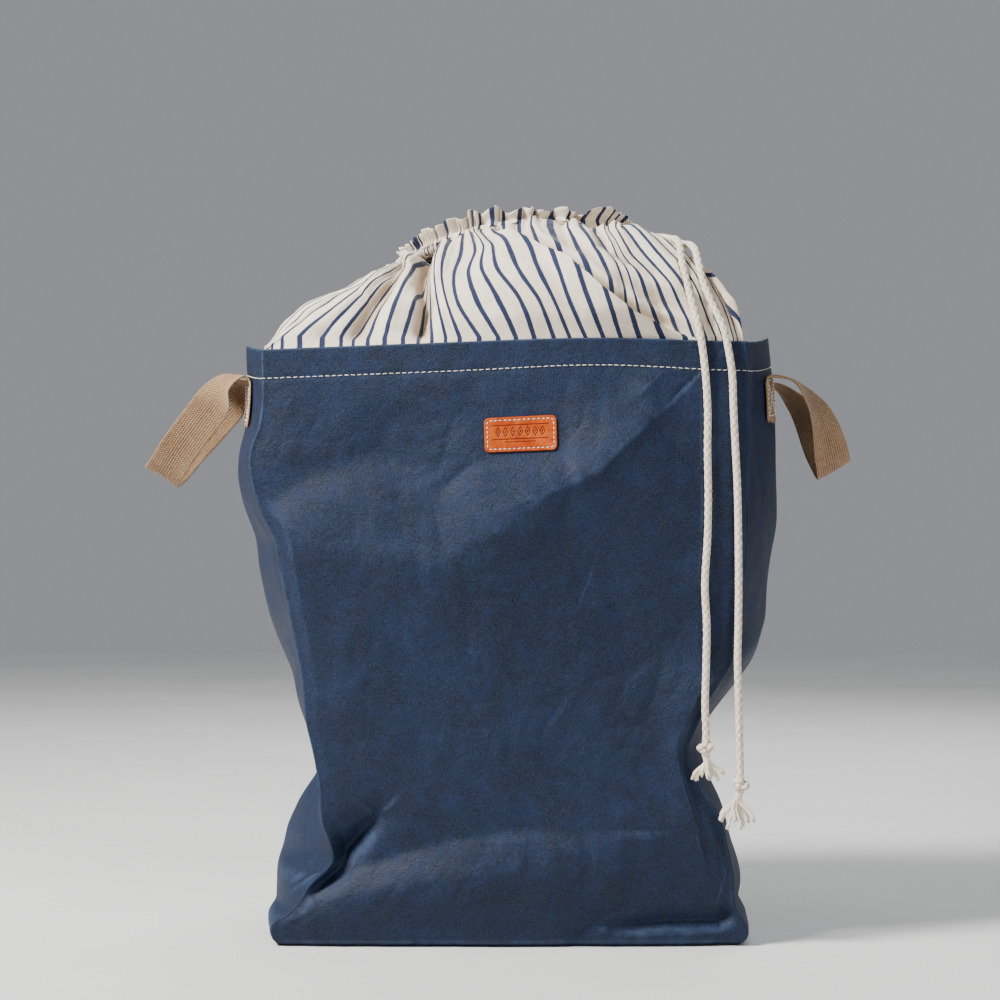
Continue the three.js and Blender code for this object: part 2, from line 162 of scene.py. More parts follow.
def smooth(low, high, x):
    t = np.clip((x - low) / (high - low), 0, 1)
    return t * t * (3 - 2 * t)


def spline(knots, x):
    """A smooth value through the knots' own (place, value) pairs."""
    t = np.array([k[0] for k in knots], float)
    v = np.array([k[1] for k in knots], float)
    slope = np.gradient(v, t)
    x = np.clip(x, t[0], t[-1])
    i = np.clip(np.searchsorted(t, x, side="right") - 1, 0, len(t) - 2)
    h = t[i + 1] - t[i]
    u = (x - t[i]) / h
    return (
        v[i] * (1 + 2 * u) * (1 - u) ** 2
        + slope[i] * h * u * (1 - u) ** 2
        + v[i + 1] * u * u * (3 - 2 * u)
        + slope[i + 1] * h * u * u * (u - 1)
    )


def noise(x, y, seed):
    """Smooth noise from -1 to 1 with cells one unit wide."""
    table = np.random.default_rng(seed).random((97, 89))
    xi, yi = np.floor(x).astype(int), np.floor(y).astype(int)
    u, v = x - xi, y - yi
    u, v = u * u * u * (u * (6 * u - 15) + 10), v * v * v * (v * (6 * v - 15) + 10)
    at = lambda i, j: table[(xi + i) % 97, (yi + j) % 89]
    return 2 * mix(mix(at(0, 0), at(1, 0), u), mix(at(0, 1), at(1, 1), u), v) - 1


def fbm(x, y, seed, octaves=3):
    return sum(noise(x * 2**k, y * 2**k, seed + k) / 2**k for k in range(octaves))


def along_line(x, z, line):
    """Distance of points (x, z) to a line, positive above it or left of it, and the share along it."""
    line = np.array(line, float)
    lengths = np.hypot(*np.diff(line, axis=0).T)
    starts = np.concatenate([[0], np.cumsum(lengths)])
    best = np.full(np.shape(x), np.inf)
    share = np.zeros(np.shape(x))
    sign = np.ones(np.shape(x))
    for i, (a, b) in enumerate(zip(line[:-1], line[1:])):
        d = b - a
        t = np.clip(((x - a[0]) * d[0] + (z - a[1]) * d[1]) / (d @ d), 0, 1)
        ex, ez = x - a[0] - t * d[0], z - a[1] - t * d[1]
        dist = np.hypot(ex, ez)
        near = dist < best
        best = np.where(near, dist, best)
        share = np.where(near, (starts[i] + t * lengths[i]) / starts[-1], share)
        sign = np.where(near, np.sign(d[0] * ez - d[1] * ex), sign)
    return best * sign, share


def fold(x, z, line, height, above, below, ends=(0.15, 0.15), sharp=1.0):
    """A ridge along a line, or a valley if height is negative. above and below are its widths on each side."""
    d, share = along_line(x, z, line)
    wide = np.where(d > 0, above, below)
    fade = smooth(-ends[0], ends[0], share) * smooth(-ends[1], ends[1], 1 - share)
    rounded = np.sqrt(d * d + sharp * sharp) - sharp
    return height * fade * np.exp(-((rounded / wide) ** 1.3))


def fold_sum(x, z, folds):
    """The folds of a table together."""
    return sum((fold(x, z, *row) for row in folds), np.zeros(np.shape(x)))


def lengths_to(points):
    """How far along a line of points each of them lies."""
    return np.concatenate([[0], np.cumsum(np.linalg.norm(np.diff(points, axis=0), axis=1))])


def at_lengths(at, run, points):
    """The values at given lengths, from points that lie at the lengths run."""
    return np.stack([np.interp(at, run, column) for column in points.T], axis=1)


def points_along(points, step):
    """A smooth line through points, with samples about step apart."""
    p = np.array(points, float)
    seat = np.concatenate([[0], np.cumsum(np.sqrt(np.linalg.norm(np.diff(p, axis=0), axis=1)))])
    fine = np.linspace(0, seat[-1], len(p) * 40)
    q = np.stack([spline(list(zip(seat, p[:, k])), fine) for k in range(3)], axis=1)
    run = lengths_to(q)
    at = np.linspace(0, run[-1], max(2, int(round(run[-1] / step)) + 1))
    return at_lengths(at, run, q)


def unit(v):
    return v / np.maximum(np.linalg.norm(v, axis=-1, keepdims=True), 1e-12)


def side_of(s):
    """The side that a place s round the sack is on, 0 to 3 from the front, and its share along that side."""
    s = np.mod(s, 4)
    side = np.minimum(np.floor(s).astype(int), 3)
    return side, s - side


# ---------------------------------------------------------------- meshes
def make_mesh(name, verts, faces, material, uv=None, values=None, uv_beside=None, beside=None):
    """verts in millimetres. uv is per vertex, and values are named floats per vertex.

    A face whose first vertex has beside set takes uv_beside, so that a stripe can stop at a fold.
    """
    mesh = bpy.data.meshes.new(name)
    mesh.from_pydata((np.asarray(verts, float) * MM).tolist(), [], [list(map(int, f)) for f in faces])
    mesh.validate()
    if uv is not None:
        loops = np.zeros(len(mesh.loops), int)
        mesh.loops.foreach_get("vertex_index", loops)
        layer = mesh.uv_layers.new(name="UVMap")
        coords = np.asarray(uv, np.float32)[loops]
        if uv_beside is not None:
            size = np.zeros(len(mesh.polygons), int)
            begin = np.zeros(len(mesh.polygons), int)
            mesh.polygons.foreach_get("loop_total", size)
            mesh.polygons.foreach_get("loop_start", begin)
            swap = np.repeat(np.asarray(beside)[loops[begin]], size)
            coords = np.where(swap[:, None], np.asarray(uv_beside, np.float32)[loops], coords)
        layer.data.foreach_set("uv", coords.ravel())
    for key, value in (values or {}).items():
        layer = mesh.attributes.new(key, "FLOAT", "POINT")
        layer.data.foreach_set("value", np.asarray(value, np.float32).ravel())
    mesh.polygons.foreach_set("use_smooth", [True] * len(mesh.polygons))
    mesh.materials.append(material)
    o = bpy.data.objects.new(name, mesh)
    bpy.context.scene.collection.objects.link(o)
    return o


def grid_faces(rows, columns, wrap=False, start=0, flip=False):
    i, j = np.meshgrid(np.arange(rows - 1), np.arange(columns if wrap else columns - 1), indexing="ij")
    k = (j + 1) % columns
    f = np.stack([i * columns + j, i * columns + k, (i + 1) * columns + k, (i + 1) * columns + j], axis=-1)
    f = f.reshape(-1, 4) + start
    return f[:, ::-1] if flip else f


def border_faces(loop_a, loop_b, wrap=False):
    n = len(loop_a) if wrap else len(loop_a) - 1
    k = (np.arange(n) + 1) % len(loop_a)
    return np.stack([loop_a[:n], loop_a[k], loop_b[k], loop_b[:n]], axis=1)


def shell(name, outer, inner, material, uv=None, values=None, wrap=False, uv_beside=None, beside=None):
    """A closed sheet between two grids of points, [row, column]."""
    rows, columns = outer.shape[:2]
    n = rows * columns
    ids = np.arange(n).reshape(rows, columns)
    faces = [grid_faces(rows, columns, wrap), grid_faces(rows, columns, wrap, n, True)]
    faces.append(border_faces(ids[0] + n, ids[0], wrap))
    faces.append(border_faces(ids[-1], ids[-1] + n, wrap))
    if not wrap:
        faces.append(border_faces(ids[:, 0], ids[:, 0] + n))
        faces.append(border_faces(ids[:, -1] + n, ids[:, -1]))
    verts = np.concatenate([outer.reshape(-1, 3), inner.reshape(-1, 3)])
    twice = lambda a: np.concatenate([a.reshape(n, -1)] * 2)
    values = {k: twice(v) for k, v in (values or {}).items()}
    pair = (None, None) if beside is None else (twice(uv_beside), twice(beside)[:, 0])
    uv = None if uv is None else twice(uv)
    return make_mesh(name, verts, np.concatenate(faces), material, uv, values, *pair)


def frames(path, first=(0, 0, 1), closed=False):
    """Two directions across a path at each of its points, without twist."""
    run = np.gradient(path, axis=0)
    if closed:
        run = np.roll(path, -1, axis=0) - np.roll(path, 1, axis=0)
    run = unit(run)
    side = np.zeros_like(path)
    a = np.cross(run[0], first)
    a = np.cross(run[0], (1, 0.3, 0)) if np.linalg.norm(a) < 1e-3 else a
    for i, t in enumerate(run):
        a = a - t * (a @ t)
        a = a / np.linalg.norm(a)
        side[i] = a
    return side, np.cross(run, side)


def tube_grid(path, radius, sides, closed=False, twist=0.0):
    """radius is one number, one per point, or [point, side]."""
    a, b = frames(path, closed=closed)
    turn = np.arange(sides) * 2 * math.pi / sides
    turn = turn[None, :] + np.linspace(0, twist, len(path))[:, None]
    r = np.broadcast_to(np.asarray(radius, float).reshape(-1, 1) if np.ndim(radius) < 2 else radius,
                        (len(path), sides))
    return (path[:, None] + a[:, None] * (r * np.cos(turn))[..., None]
            + b[:, None] * (r * np.sin(turn))[..., None])


def tube_parts(grid, start=0):
    """Vertices and faces of a tube with closed round ends."""
    rows, sides = grid.shape[:2]
    ids = np.arange(rows * sides).reshape(rows, sides) + start
    ends = np.array([grid[0].mean(0), grid[-1].mean(0)])
    verts = np.concatenate([grid.reshape(-1, 3), ends])
    k = (np.arange(sides) + 1) % sides
    a, b = start + rows * sides, start + rows * sides + 1
    faces = [list(f) for f in grid_faces(rows, sides, True, start)]
    faces += [[a, ids[0][j], ids[0][i]] for i, j in enumerate(k)][::-1]
    faces += [[b, ids[-1][i], ids[-1][j]] for i, j in enumerate(k)]
    return verts, faces


def many_tubes(name, grids, material, values=None):
    verts, faces, count = [], [], 0
    for grid in grids:
        v, f = tube_parts(grid, count)
        verts.append(v)
        faces += f
        count += len(v)
    return make_mesh(name, np.concatenate(verts), faces, material, values=values)


def stitches(name, points, outward, material, length=4.4, gap=1.7, radius=0.42, wander=0.12, seed=5):
    """A row of single stitches that dip into the cloth at their ends."""
    rng = np.random.default_rng(seed)
    run = lengths_to(points)
    count = max(1, int(run[-1] // (length + gap)))
    pitch = run[-1] / count
    grids = []
    for n in range(count):
        begin = n * pitch + gap / 2 * rng.uniform(0.7, 1.3)
        at = begin + np.linspace(0, 1, 6) * (pitch - gap)
        p = at_lengths(at, run, points)
        o = unit(at_lengths(at, run, outward))
        lift = radius * np.array([-0.75, 0.35, 0.8, 0.8, 0.35, -0.75])
        across = unit(np.cross(o[0], p[-1] - p[0]))
        p = p + o * lift[:, None] + across * np.linspace(-1, 1, 6)[:, None] * rng.uniform(-wander, wander) * 2
        grids.append(tube_grid(p, radius * np.array([0.55, 0.9, 1, 1, 0.9, 0.55]), 7))
    return many_tubes(name, grids, material)


def dress(piece, slot, *nodes, body="root"):
    """Hides the nodes that a piece stands for and hangs the piece on the body that it rides on. slot is not
    used.
    """
    if nodes:
        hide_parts(*nodes)
    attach(piece, body)


# ---------------------------------------------------------------- materials
class Nodes:
    """A short way to write a material's nodes."""

    def __init__(self, name):
        self.material = bpy.data.materials.new(name)
        self.material.use_nodes = True
        self.tree = self.material.node_tree
        self.tree.nodes.clear()
        self.shader = self.tree.nodes.new("ShaderNodeBsdfPrincipled")
        out = self.tree.nodes.new("ShaderNodeOutputMaterial")
        self.tree.links.new(self.shader.outputs[0], out.inputs[0])
        self.object = self.tree.nodes.new("ShaderNodeTexCoord").outputs["Object"]

    def put(self, value, socket):
        if isinstance(value, bpy.types.NodeSocket):
            self.tree.links.new(value, socket)
        else:
            socket.default_value = value

    def node(self, kind, settings=None, **inputs):
        n = self.tree.nodes.new(kind)
        for key, value in (settings or {}).items():
            setattr(n, key, value)
        for key, value in inputs.items():
            self.put(value, n.inputs[key.replace("_", " ")])
        return n

    def math(self, operation, a, b=0.5, c=0.5, clamp=False):
        n = self.node("ShaderNodeMath", {"operation": operation, "use_clamp": clamp})
        for socket, value in zip(n.inputs, (a, b, c)):
            self.put(value, socket)
        return n.outputs[0]

    def stretched(self, vector, scale):
        n = self.node("ShaderNodeMapping", Vector=vector, Scale=scale)
        return n.outputs[0]

    def noise(self, scale, detail=4.0, rough=0.55, vector=None, distort=0.0):
        n = self.node("ShaderNodeTexNoise", Vector=vector or self.object, Scale=scale, Detail=detail,
                      Roughness=rough, Distortion=distort)
        return n.outputs[0]

    def span(self, value, low, high, to_low=0.0, to_high=1.0):
        n = self.node("ShaderNodeMapRange", {"interpolation_type": "SMOOTHSTEP"})
        for socket, x in zip(n.inputs, (value, low, high, to_low, to_high)):
            self.put(x, socket)
        return n.outputs[0]

    def blend(self, share, a, b):
        n = self.node("ShaderNodeMix", {"data_type": "RGBA"})
        self.put(share, n.inputs[0])
        self.put(a, n.inputs[6])
        self.put(b, n.inputs[7])
        return n.outputs[2]

    def value(self, name):
        return self.node("ShaderNodeAttribute", {"attribute_name": name}).outputs["Fac"]

    def bump(self, height, distance, strength=1.0, normal=None):
        n = self.node("ShaderNodeBump", Strength=strength, Distance=distance, Height=height)
        if normal is not None:
            self.put(normal, n.inputs["Normal"])
        return n.outputs[0]

    def finish(self, color, roughness, normal=None, **constants):
        self.put(color, self.shader.inputs["Base Color"])
        self.put(roughness, self.shader.inputs["Roughness"])
        if normal is not None:
            self.put(normal, self.shader.inputs["Normal"])
        for key, value in constants.items():
            self.shader.inputs[key.replace("_", " ")].default_value = value
        return self.material


def rgb(red, green, blue):
    """A linear colour from a display colour of 0 to 255."""
    channel = lambda c: c / 255 / 12.92 if c <= 10 else ((c / 255 + 0.055) / 1.055) ** 2.4
    return (channel(red), channel(green), channel(blue), 1.0)


def uv_socket(n):
    return n.node("ShaderNodeUVMap", {"uv_map": "UVMap"}).outputs[0]


def navy_material(name):
    """Washed, waxed cloth: cloudy dye, short fibres both ways, pale where folds have rubbed."""
    n = Nodes(name)
    uv = uv_socket(n)
    clouds = n.noise(11, 5, 0.62, uv, 0.6)
    patches = n.noise(48, 5, 0.65, uv, 0.3)
    across = n.noise(600, 4, 0.78, n.stretched(uv, (0.4, 1.3, 1)), 0.6)
    upright = n.noise(600, 4, 0.78, n.stretched(uv, (1.3, 0.4, 1)), 0.6)
    fibres = n.math("ADD", n.math("MULTIPLY", across, 0.5), n.math("MULTIPLY", upright, 0.5))
    fibres = n.math("ADD", n.math("MULTIPLY", fibres, 0.6), n.math("MULTIPLY", n.noise(760, 3, 0.8, uv), 0.4))
    base = n.blend(n.span(clouds, 0.33, 0.68), NAVY["dark"], NAVY["mid"])
    base = n.blend(n.span(patches, 0.42, 0.72, 0, 0.55), base, NAVY["light"])
    base = n.blend(n.span(fibres, 0.43, 0.57, 0, 1), n.blend(0.5, base, NAVY["black"]),
                   n.blend(0.6, base, NAVY["grain"]))
    worn = n.math("MULTIPLY", n.value("worn"), n.span(patches, 0.3, 0.65, 0.35, 1.0), clamp=True)
    base = n.blend(worn, base, NAVY["worn"])
    weave = n.math("MULTIPLY", n.noise(900, 2, 0.6, n.stretched(uv, (0.35, 1.4, 1))),
                   n.noise(900, 2, 0.6, n.stretched(uv, (1.4, 0.35, 1))))
    wrinkles = n.noise(65, 6, 0.62, uv, 1.2)
    normal = n.bump(wrinkles, 0.0016, 0.5)
    normal = n.bump(weave, 0.0009, 0.7, normal)
    rough = n.span(n.math("ADD", patches, fibres), 0.7, 1.3, 0.5, 0.66)
    return n.finish(base, rough, normal, Specular_IOR_Level=0.22)


def cotton_material(name):
    """Cream plain weave with narrow navy stripes that run up the cloth, and painted shade in the hollows of
    its folds.
    """
    n = Nodes(name)
    uv = uv_socket(n)
    across = n.node("ShaderNodeSeparateXYZ", Vector=uv).outputs[0]
    slow = n.noise(70, 3, 0.6, n.stretched(uv, (1, 0.5, 1)))
    wobble = n.math("MULTIPLY", n.math("SUBTRACT", slow, 0.5), 0.0016)
    place = n.math("FRACT", n.math("DIVIDE", n.math("ADD", across, wobble), STRIPE_PITCH * MM))
    off = n.math("ABSOLUTE", n.math("SUBTRACT", place, 0.5))
    ragged = n.math("MULTIPLY", n.math("SUBTRACT", n.noise(900, 3, 0.7, uv), 0.5), 0.05)
    half = STRIPE_WIDTH / STRIPE_PITCH / 2
    stripe = n.span(n.math("ADD", off, ragged), half - 0.018, half + 0.018, 1, 0)
    thread_a = n.noise(1400, 2, 0.6, n.stretched(uv, (1.0, 0.08, 1)))
    thread_b = n.noise(1400, 2, 0.6, n.stretched(uv, (0.08, 1.0, 1)))
    weave = n.math("ADD", thread_a, thread_b)
    cream = n.blend(n.span(n.noise(26, 4, 0.6, uv), 0.3, 0.7), COTTON["cream"], COTTON["shade"])
    cream = n.blend(n.span(weave, 0.8, 1.2, 0, 0.35), cream, COTTON["thread"])
    # painted shade: the cream turns to a darker warm beige in the valleys of the collar's folds and pleats,
    # standing in for shade and reflected light there
    cream = n.blend(n.math("MULTIPLY", n.value("painted_fold_shade"), 0.75), cream, COTTON["fold"])
    ink = n.blend(n.span(weave, 0.75, 1.3, 0, 0.5), COTTON["ink"], COTTON["ink_light"])
    color = n.blend(stripe, cream, ink)
    wrinkles = n.noise(150, 5, 0.6, n.stretched(uv, (1, 0.45, 1)), 0.5)
    normal = n.bump(wrinkles, 0.0016, 0.45)
    normal = n.bump(weave, 0.0003, 0.5, normal)
    return n.finish(color, 0.88, normal, Sheen_Weight=0.12, Sheen_Roughness=0.6, Specular_IOR_Level=0.3)


def cord_material(name):
    """Soft cotton yarn, with painted shade in the gaps between its braided strands."""
    n = Nodes(name)
    depth = n.value("height")
    fuzz = n.noise(1500, 3, 0.7)
    base = n.blend(n.span(n.noise(60, 3), 0.3, 0.7), CORD["light"], CORD["mid"])
    # painted shade: the yarn turns dark where the braid's height is low, in the gaps between strands
    base = n.blend(n.span(depth, 0.0, 0.7, 0.92, 0), base, CORD["dark"])
    base = n.blend(n.span(fuzz, 0.45, 0.75, 0, 0.4), base, CORD["bright"])
    normal = n.bump(fuzz, 0.0006, 0.6)
    return n.finish(base, 0.92, normal, Sheen_Weight=0.2, Sheen_Roughness=0.6, Specular_IOR_Level=0.25)


def webbing_material(name):
    """Coarse cotton webbing, with painted shade in the gaps between raised yarns."""
    n = Nodes(name)
    depth = n.value("height")
    tint = n.noise(1100, 3, 0.7)
    base = n.blend(n.span(n.noise(55, 4), 0.3, 0.7), WEBBING["mid"], WEBBING["warm"])
    base = n.blend(n.span(tint, 0.45, 0.7, 0, 0.6), base, WEBBING["light"])
    # painted shade: the webbing turns dark where the yarn height is low, in the gaps between yarns
    base = n.blend(n.span(depth, 0.05, 0.7, 0.9, 0), base, WEBBING["dark"])
    normal = n.bump(tint, 0.0005, 0.6)
    return n.finish(base, 0.92, normal, Sheen_Weight=0.15, Sheen_Roughness=0.6, Specular_IOR_Level=0.25)


def leather_material(name):
    n = Nodes(name)
    pores = n.node("ShaderNodeTexVoronoi", {"feature": "DISTANCE_TO_EDGE"}, Vector=n.object,
                   Scale=1300.0).outputs[0]
    cloud = n.noise(110, 5, 0.6)
    base = n.blend(n.span(cloud, 0.3, 0.7), LEATHER["mid"], LEATHER["light"])
    base = n.blend(n.value("pressed"), base, LEATHER["dark"])
    normal = n.bump(pores, 0.00025, 0.35)
    normal = n.bump(n.noise(420, 4, 0.6), 0.0004, 0.4, normal)
    rough = n.span(cloud, 0.3, 0.7, 0.4, 0.55)
    return n.finish(base, rough, normal, Specular_IOR_Level=0.25)


def thread_material(name):
    n = Nodes(name)
    twist = n.noise(2500, 2, 0.5)
    base = n.blend(n.span(twist, 0.35, 0.65), THREAD["shade"], THREAD["light"])
    return n.finish(base, 0.75, n.bump(twist, 0.0002, 0.5), Specular_IOR_Level=0.35)


def floor_material(name):
    n = Nodes(name)
    base = n.blend(n.span(n.noise(3, 3), 0.3, 0.7), (0.62, 0.62, 0.61, 1), (0.66, 0.66, 0.65, 1))
    return n.finish(base, 0.85, n.bump(n.noise(180, 3), 0.0003, 0.2))


NAVY = {"black": rgb(2, 5, 11), "dark": rgb(7, 16, 33), "mid": rgb(12, 26, 54), "light": rgb(24, 44, 84),
        "grain": rgb(36, 50, 76), "worn": rgb(64, 84, 114)}
# fold is a painted shade colour: the warm beige that the cream turns to in fold and pleat valleys
COTTON = {"cream": rgb(225, 211, 191), "shade": rgb(211, 195, 173), "thread": rgb(241, 233, 219),
          "ink": rgb(15, 26, 58), "ink_light": rgb(32, 46, 82), "fold": rgb(176, 152, 122)}
STRIPE_PITCH = 16.8
STRIPE_WIDTH = 4.6
# dark is a painted shade colour for the gaps between braided strands
CORD = {"light": rgb(229, 216, 196), "mid": rgb(218, 203, 182), "dark": rgb(136, 114, 88),
        "bright": rgb(245, 240, 230)}
# dark is a painted shade colour for the gaps between the webbing's yarns
WEBBING = {"mid": rgb(160, 126, 92), "warm": rgb(150, 113, 78), "light": rgb(200, 168, 132),
           "dark": rgb(50, 33, 20)}
LEATHER = {"mid": rgb(158, 52, 0), "light": rgb(182, 80, 2), "dark": rgb(62, 18, 0)}
THREAD = {"light": rgb(246, 240, 228), "shade": rgb(214, 204, 186)}

navy = navy_material("navy_waxed_cloth")
cotton = cotton_material("striped_cotton")
cord_yarn = cord_material("braided_cotton")
webbing = webbing_material("tan_webbing")
leather = leather_material("tan_leather")
thread = thread_material("cream_thread")


# ---------------------------------------------------------------- camera, light and floor
def build_camera():
    data = bpy.data.cameras.new("camera")
    data.sensor_width = 36
    data.lens = 90.95
    camera = bpy.data.objects.new("camera", data)
    camera.location = (-0.0085, -2.54, 0.4256)
    camera.rotation_euler = (math.pi / 2, 0, 0)
    bpy.context.scene.collection.objects.link(camera)
    bpy.context.scene.camera = camera


def area_light(name, place, target, size, power, color=(1, 1, 1)):
    data = bpy.data.lights.new(name, "AREA")
    data.shape = "RECTANGLE"
    data.size, data.size_y = size
    data.energy = power
    data.color = color
    lamp = bpy.data.objects.new(name, data)
    lamp.location = place
    lamp.rotation_euler = (Vector(target) - Vector(place)).to_track_quat("-Z", "Y").to_euler()
    bpy.context.scene.collection.objects.link(lamp)


def build_studio():
    world = bpy.data.worlds.new("studio")
    world.use_nodes = True
    world.node_tree.nodes["Background"].inputs[0].default_value = (0.9, 0.93, 1.0, 1)
    world.node_tree.nodes["Background"].inputs[1].default_value = 0.32
    bpy.context.scene.world = world
    area_light("key", (-1.75, -1.1, 2.35), (0, 0, 0.45), (0.7, 0.5), 232, (1, 0.985, 0.96))
    area_light("fill", (1.6, -2.4, 1.2), (0, 0, 0.35), (1.6, 1.6), 20, (0.93, 0.96, 1))
    area_light("rim", (0.6, 2.0, 1.9), (0, 0, 0.5), (1.6, 1.0), 42)
    bpy.ops.mesh.primitive_grid_add(x_subdivisions=8, y_subdivisions=8, size=9, location=(0, 0, -0.0005))
    floor = bpy.context.object
    floor.name = "floor"
    floor.data.materials.append(floor_material("pale_floor"))


build_camera()


# ---------------------------------------------------------------- drawcord
def braid(path, radius, closed=False, sides=20, ropes=3, lay=8.5):
    """A braided tube's grid and the height of each of its points, 0 in the gaps and 1 on the strands."""
    step = np.linalg.norm(np.diff(path, axis=0), axis=1).mean()
    run = np.arange(len(path)) * step * 2 * math.pi / lay
    turn = np.arange(sides) * 2 * math.pi / sides
    a = ropes * turn[None, :] + run[:, None]
    b = ropes * turn[None, :] - run[:, None]
    height = np.abs(np.sin(a / 2) * np.sin(b / 2)) ** 0.45
    rough = noise(turn[None, :] * 3, run[:, None] * 1.7, 11)
    r = radius * (0.79 + 0.21 * height + 0.03 * rough)
    return tube_grid(path, r, sides, closed), height


def build_cord(name, path, radius):
    """A length of drawcord with closed ends."""
    grid, height = braid(path, radius)
    verts, faces = tube_parts(grid)
    value = np.concatenate([height.ravel(), [1, 1]])
    return make_mesh(name, verts, faces, cord_yarn, values={"height": value})


def build_tail(name):
    """One free tail: the braided cord down to its knot, the overhand knot and the frayed end below it."""
    tail = TAILS[name]
    x, y, z = tail["knot"]
    path = points_along(tail["upper"][:-1] + tail["lower"] + [(x, y, z + KNOT_HALF[2] - 2)], 0.9)
    cord = build_cord(f"{name}_drawcord_tail", path, CORD_R)
    knot = build_knot(name, tail)
    fray = build_fray(name, tail)
    return cord, knot, fray, path


def build_knot(name, tail):
    """A small overhand knot, pulled tight."""
    lean = {"inner": 0.25, "outer": -0.35}[name]
    t = np.linspace(0, 2 * math.pi, 150, endpoint=False)
    x = (np.sin(t) + 1.9 * np.sin(2 * t)) * 2.0
    z = (np.cos(t) - 1.9 * np.cos(2 * t)) * 1.25
    y = -np.sin(3 * t) * 2.6
    path = np.stack([x * math.cos(lean) - z * math.sin(lean), y,
                     x * math.sin(lean) + z * math.cos(lean)], axis=1)
    grid, height = braid(path + tail["knot"], 3.4, closed=True, lay=7)
    rows, sides = grid.shape[:2]
    faces = grid_faces(rows + 1, sides, True) % (rows * sides)
    return make_mesh(f"{name}_cord_knot", grid.reshape(-1, 3), faces, cord_yarn, values={"height": height})


def build_fray(name, tail):
    """The loose strands: a short twisted neck, then clumps that fan out."""
    rng = np.random.default_rng({"inner": 31, "outer": 47}[name])
    x, y, z = tail["knot"]
    z -= KNOT_HALF[2] - 2.2
    fan = {"inner": (-15.5, 17), "outer": (-21, 17)}[name]
    neck = {"inner": 15.0, "outer": 14.0}[name]
    length = {"inner": 30.0, "outer": 39.0}[name]
    shift = {"inner": 1.5, "outer": -4.5}[name]
    grids, values = [], []
    clumps = strands = 8
    for c in range(clumps):
        aim = mix(fan[0], fan[1], (c + rng.uniform(0.2, 0.8)) / clumps) - tail["spread"] * 0.3
        out = rng.uniform(-6, 5)
        reach = rng.uniform(-8, 1)
        curl = rng.uniform(-2.2, 2.2)
        for _ in range(strands):
            t = np.linspace(0, 1, 15)
            fall = z - t * (length + reach + rng.uniform(-2, 1.5)) * (1 - 0.2 * abs(aim) / 20)
            share = smooth(neck / length * 0.6, 1.0, t) ** 0.85
            turn = rng.uniform(0, 2 * math.pi) + t * 5
            round_neck = rng.uniform(1.0, 3.0) * (1 - 0.4 * smooth(0.1, 0.5, t))
            px = x + shift * smooth(0, 0.5, t) + aim * share + round_neck * np.cos(turn) * (1 - 0.5 * share)
            py = y + out * share + round_neck * np.sin(turn) * (1 - 0.5 * share) + 0.6
            px = px + (curl * np.sin(t * 4.5) + 0.4 * np.sin(t * 9 + rng.uniform(0, 6))
                       + rng.uniform(-1.1, 1.1)) * share
            py = py + 0.8 * np.sin(t * 8 + rng.uniform(0, 6)) * share
            py = np.clip(py, y - 7.2, y + 3.2)
            thick = rng.uniform(0.9, 1.3) * (1 - 0.25 * t) * (1 + 0.12 * np.sin(t * 40))
            grids.append(tube_grid(np.stack([px, py, fall], axis=1), thick, 7))
            values.append(np.full(grids[-1].shape[:2], 0.75).ravel())
            values.append([0.8, 0.8])
    return many_tubes(f"{name}_frayed_end", grids, cord_yarn, {"height": np.concatenate(values)})


tails = {name: build_tail(name) for name in TAILS}
cord_line = np.concatenate([points_along(tail["upper"][:-1] + tail["lower"], 2.0) for tail in TAILS.values()])


def clear_of_cords(points, gap=0.5, sheet=0.0, way=(0, 1, 0)):
    """Pushes a sheet's points back where a cord lies on it. sheet is how far they lie behind its face."""
    flat = points.reshape(-1, 3)
    need = CORD_R + gap + sheet
    low, high = cord_line.min(0) - 12, cord_line.max(0) + 12
    near = np.where(((flat > low) & (flat < high)).all(axis=1))[0]
    for _ in range(3):
        for chunk in np.array_split(near, max(1, len(near) // 4000)):
            p = flat[chunk]
            d = np.linalg.norm(p[:, None] - cord_line[None], axis=2)
            i = d.argmin(axis=1)
            dist = d[np.arange(len(p)), i]
            away = unit(unit(p - cord_line[i]) * 0.25 + np.array(way))
            flat[chunk] = p + away * np.clip(need - dist, 0, None)[:, None]
    return flat.reshape(points.shape)


# ---------------------------------------------------------------- walls
def flat_wall(s, z):
    """Position (x, y) and outward direction of the wall's smooth shape, with sharp upright edges."""
    side, f = side_of(s)
    xs = [spline(edge, z) for edge in EDGE_X]
    ys = [spline(FRONT_Y, z), spline(FRONT_Y, z), spline(BACK_Y, z), spline(BACK_Y, z)]
    belly = np.choose(side, [spline(b, z) for b in BELLY]) * np.sin(np.pi * f)
    ax, ay = np.choose(side, xs), np.choose(side, ys)
    bx, by = np.choose((side + 1) % 4, xs), np.choose((side + 1) % 4, ys)
    out_x = np.choose(side, [0.0, 1.0, 0.0, -1.0])
    out_y = np.choose(side, [-1.0, 0.0, 1.0, 0.0])
    return mix(ax, bx, f) + out_x * belly, mix(ay, by, f) + out_y * belly, out_x, out_y


def rim_rise(s):
    return spline(RIM_RISE, np.mod(s, 4))


